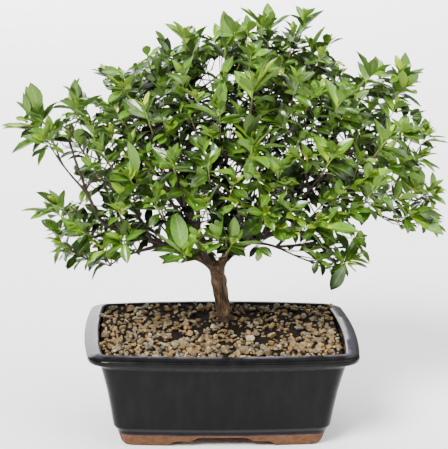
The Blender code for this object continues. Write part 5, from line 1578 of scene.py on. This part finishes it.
def fill_hearts(shoots):
    """Places for more shoots, with the rows of leaves and the lift of tone that each has."""
    draw = random.Random(SEED + 11)
    main = [foot + axis * (HEART_HEIGHT * SHOOT_LENGTH) for foot, axis, _, _ in shoots.values()]
    whorls = [Vector(heart) for heart in FRONT_HEARTS]
    taken = main + [Vector(whorl.heart) for whorl in WHORLS]
    most = len(whorls) + BACK_SHOOTS
    inner, top = [], []

    def has_room(heart, others, spacing):
        return all((heart - near).length > spacing for near in taken + whorls + others)

    def between(hearts):
        one, other = draw.sample(hearts, 2)
        return one.lerp(other, draw.uniform(0.1, 0.9))

    for _ in range(FILL_TRIES):
        heart = between(main) + scatter(draw, HEART_SHAKE)
        outer = exposure(heart)
        if is_bare(heart):
            continue
        if heart.y > BACK_FROM and BACK_EXPOSURE[0] < outer < BACK_EXPOSURE[1] and len(whorls) < most:
            if has_room(heart, [], BACK_SPACING):
                whorls.append(heart)
        elif INNER_EXPOSURE[0] < outer < INNER_EXPOSURE[1] and len(inner) < INNER_SHOOTS:
            if has_room(heart, inner, INNER_SPACING):
                inner.append(heart)
    high = [heart for heart in main if heart.z > TOP_LOW]
    for _ in range(TOP_TRIES):
        heart = between(high)
        heart = CROWN_MIDDLE + (heart - CROWN_MIDDLE) / exposure(heart) * draw.uniform(*TOP_EXPOSURE)
        if heart.y > TOP_FROM and heart.z > TOP_LOW and not is_bare(heart) and len(top) < TOP_SHOOTS:
            if has_room(heart, top, TOP_SPACING):
                top.append(heart)
    places = [(Vector(heart), TUFT_ROWS, lift, tips) for heart, lift, tips in WHORLS]
    places += [(heart, WHORL_ROWS, 0.0, []) for heart in whorls + top]
    return places + [(heart, INNER_ROWS, INNER_SHADE_LIFT, []) for heart in inner]


def leaf_tone(height, point, draw, lift):
    """A leaf's tone, from 0 to 1: lighter high on its shoot, and lighter far out in the crown and darker
    deep inside it as painted light and shade.
    """
    # Place in the crown: painted light on the outer leaves, painted shade on the inner ones, which are also
    # darker for their age.
    tone = TONE_SHARES[0] * height + TONE_SHARES[1] * (exposure(point) - TONE_MIDDLE)
    return max(0.0, min(1.0, tone + draw.gauss(0.0, TONE_SPREAD) + lift))


def add_rows(growth, crowd, own, stem, rows, draw, lift=0.0):
    """Stamp rows of leaves round a stem, each one where it finds room among its own and the crowd."""
    foot, axis, side, length = stem
    for number_row, (*row, count) in enumerate(rows):
        small = row[2] < SMALL_LEAF
        height = row[0] + SMALL_RISE * small
        for number in range(count):
            turned = 90.0 * number_row + 360.0 / count * number + 45.0 * (rows is OLD_ROWS)
            for leaf in leaf_choices(foot, axis, side, row, 0, draw, turned, length, EXTRA_WILD):
                if any(is_bare(leaf.root + leaf.direction * (leaf.length * part)) for part in (0.5, 1.0)):
                    continue
                beyond = leaf_tree(outer_part(leaf, INNER_HALF))
                if not small and any(crosses(beyond, near) for near in own):
                    continue
                if crowd.is_free(beyond):
                    own.append(leaf_tree(leaf))
                    add_leaf(growth, leaf, leaf_tone(height, leaf.root, draw, lift), draw)
                    break


def add_main_leaf(growth, leaf, tips, foot, axis, draw):
    """Stamp one of a main shoot's own leaves: smaller where no tip was chosen for it."""
    tip = leaf.root + leaf.direction * leaf.length
    lift, calm = TIP_LIFT, CALM
    share = TIP_SHRINK if is_bare(tip) else 1.0
    height = (leaf.root - foot).dot(axis) / SHOOT_LENGTH
    if all((tip - Vector(chosen)).length > TIP_MISS for chosen in tips):
        lift, calm = 0.0, 1.0
        share = draw.uniform(*LEAF_SHRINK)
        if is_bare(tip):
            share = BARE_SHRINK
            leaf = leaf._replace(direction=(leaf.direction + axis).normalized())
    leaf = leaf._replace(length=leaf.length * share, width=leaf.width * share)
    add_leaf(growth, leaf, leaf_tone(height, leaf.root, draw, lift), draw, calm)


def reach_heart(heart, axis, places):
    """Foot of an added shoot whose heart and axis are given, and the route of its twig."""
    foot = heart - axis * (HEART_HEIGHT * EXTRA_LENGTH)
    _, route = next(twigs_to(foot, axis, places))
    return foot, route


def set_extra(heart, tips, places, draw):
    """Foot, axis, side and twig of a further shoot. It leans towards its tips and the way its twig comes."""
    axis = ((heart - SHOOT_SPREAD).normalized() + UP * EXTRA_LIFT + scatter(draw, EXTRA_STRAY)).normalized()
    if tips:
        middle = sum(((Vector(tip) - heart).normalized() for tip in tips), Vector())
        axis = (axis * EXTRA_AXIS + middle / len(tips)).normalized()
    foot, route = reach_heart(heart, axis, places)
    drift = HANGING_DRIFT if foot.z < route[0].z else TWIG_DRIFT
    axis = axis.lerp((heart - route[0]).normalized(), drift).normalized()
    foot, route = reach_heart(heart, axis, places)
    return foot, axis, axis.orthogonal().normalized(), route


def slim_leaf(root, axis, tip, draw):
    """A narrow leaf of a whorl, from its root to a chosen tip."""
    way = tip - root
    direction = way.normalized()
    normal = leaf_upper_side(direction, axis, math.radians(draw.uniform(-SLIM_ROLL, SLIM_ROLL)))
    width = (SLIM_WIDTH[0] + SLIM_WIDTH[1] * way.length) * draw.uniform(*SLIM_WIDER)
    return Leaf(root, direction, normal, way.length, width, draw.uniform(*SLIM_ARCH))


def make_main_sprays(shoots, leaves, crowd, finishes):
    """The main shoots with fine leaves where the solids have coarse ones, and more between them."""
    pieces = []
    for number, (name, (foot, axis, side, _)) in enumerate(shoots.items()):
        draw = random.Random(SEED * 7 + number)
        growth, own = Growth(), []
        add_stem(growth, foot, axis, side, SHOOT_LENGTH, FINE_STEM_MAIN)
        for leaf in leaves[name]:
            add_main_leaf(growth, leaf, SHOOTS[name].tips, foot, axis, draw)
        for rows in (YOUNG_ROWS, OLD_ROWS):
            add_rows(growth, crowd, own, (foot, axis, side, SHOOT_LENGTH), rows, draw)
        crowd.add(own)
        piece = growth.piece("leafy_shoot_" + name, finishes)
        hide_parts("spray_" + name)
        pieces.append(piece)
    return pieces


def make_extra_sprays(shoots, crowd, finishes):
    """More shoots between the main ones, in a few pieces, and the routes of their twigs."""
    places = limb_points()
    for _, _, _, route in shoots.values():
        for a, b in zip(route, route[1:]):
            places.append(("twig", a.lerp(b, 0.6), (b - a).normalized()))
    routes = []
    groups = [Growth() for _ in range(FILL_PIECES)]
    for number, (heart, rows, lift, tips) in enumerate(fill_hearts(shoots)):
        draw = random.Random(SEED * 13 + number)
        foot, axis, side, route = set_extra(heart, tips, places, draw)
        growth, own = Growth(), []
        for count, tip in enumerate(tips):
            root = foot + axis * (EXTRA_LENGTH * (SLIM_ROOTS[0] - SLIM_ROOTS[1] * count))
            leaf = slim_leaf(root, axis, Vector(tip), draw)
            own.append(leaf_tree(leaf))
            height = SLIM_TONES[0] - SLIM_TONES[1] * count
            aged = LONG_LEAF[1] * max(0.0, leaf.length - LONG_LEAF[0])
            add_leaf(growth, leaf, leaf_tone(height, root, draw, lift - aged), draw, CALM)
        lift += draw.gauss(0.0, SHOOT_TONE_SPREAD)
        add_rows(growth, crowd, own, (foot, axis, side, EXTRA_LENGTH), rows, draw, lift)
        if len(own) >= FEWEST_LEAVES:
            routes.append(straightened(route))
            add_stem(growth, foot, axis, side, EXTRA_LENGTH, FINE_STEM)
            groups[number % FILL_PIECES].join(growth)
            crowd.add(own)
    pieces = [growth.piece("inner_shoots_%d" % number, finishes) for number, growth in enumerate(groups, 1)]
    return pieces, routes


def add_camera():
    """A long lens, looking down a little."""
    right, rise, ahead = look_axes()
    lens = bpy.data.cameras.new("camera")
    lens.sensor_width = SENSOR
    lens.lens = FOCAL_PIXELS / LONG_SIDE_PIXELS * SENSOR
    lens.clip_end = CLIP_END
    camera = add_object("camera", lens)
    turn = Matrix((right, rise, -ahead)).transposed().to_4x4()
    camera.matrix_world = Matrix.Translation(place(EYE)) @ turn
    bpy.context.scene.camera = camera


def add_sun(name, azimuth, elevation, strength, angle):
    """A broad soft light from a direction. Azimuth 0 is the front, and it grows to the right."""
    lamp = bpy.data.lights.new(name, "SUN")
    lamp.energy = strength
    lamp.angle = math.radians(angle)
    made = add_object(name, lamp)
    turn, rise = math.radians(azimuth), math.radians(elevation)
    source = Vector((math.sin(turn) * math.cos(rise), -math.cos(turn) * math.cos(rise), math.sin(rise)))
    made.rotation_euler = source.to_track_quat("Z", "Y").to_euler()


def add_panel(name, spot, power, width, height):
    """A broad lit panel that faces the crown."""
    lamp = bpy.data.lights.new(name, "AREA")
    lamp.shape = "RECTANGLE"
    lamp.energy = power
    lamp.color = PANEL_COLOUR
    lamp.size = width
    lamp.size_y = height
    made = add_object(name, lamp)
    made.location = spot
    made.rotation_euler = (Vector(spot) - PANEL_TARGET).to_track_quat("Z", "Y").to_euler()


def add_studio():
    """Pale floor, white surroundings and soft lamps."""
    deselect()
    bpy.ops.mesh.primitive_plane_add(size=FLOOR_SIZE, location=(0.0, 0.0, 0.0))
    floor = bpy.context.object
    floor.name = "studio_floor"
    paper = Finish("pale_paper", Roughness=0.9)
    paper.set(Base_Color=paper.ramp(paper.grain(paper.place(), 3.0), [
        (0.0, (0.93, 0.93, 0.93)), (1.0, (0.95, 0.95, 0.95))]))
    paint(floor, paper.material)
    world = bpy.data.worlds.new("studio")
    world.use_nodes = True
    sky = world.node_tree.nodes["Background"]
    sky.inputs["Color"].default_value = (1.0, 1.0, 1.0, 1.0)
    sky.inputs["Strength"].default_value = WORLD_STRENGTH
    bpy.context.scene.world = world
    for name, lamp in SUNS.items():
        add_sun(name, *lamp)
    add_panel("back_panel", *PANEL)


add_camera()
add_studio()
TRIANGLE = triangle_profile()

bark = bark_finish()
pot = make_pot(pot_finish())
earth = make_soil(soil_finish())
gravel = make_gravel(stone_finish())
main_shoots, main_stems, coarse_wood = set_shoots()
main_leaves = set_leaves(main_shoots, main_stems, coarse_wood)
shoot_finishes = [leaf_finish(), shoot_finish()]
crowd = Crowd()
crowd.add(coarse_wood + list(main_stems.values()))
crowd.add(leaf_tree(leaf) for row in main_leaves.values() for leaf in row)
main_sprays = make_main_sprays(main_shoots, main_leaves, crowd, shoot_finishes)
extra_sprays, fine_routes = make_extra_sprays(main_shoots, crowd, shoot_finishes)
limbs, twigs = make_wood(main_shoots, fine_routes, bark)
bpy.data.objects.remove(TRIANGLE)

mesh_finish = screen_finish()
for side in ("left", "right"):
    paint(bpy.data.objects["drain_screen_" + side], mesh_finish)

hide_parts("pot")
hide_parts("soil")
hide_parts("gravel")
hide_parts("wood")
for piece, slot in [(pot, "pot_glaze"), (earth, "soil"), (gravel, "gravel_stones"), (limbs, "bark"),
                    (twigs, "bark")] + [(spray, "leaves") for spray in main_sprays + extra_sprays]:
    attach(piece, "root")
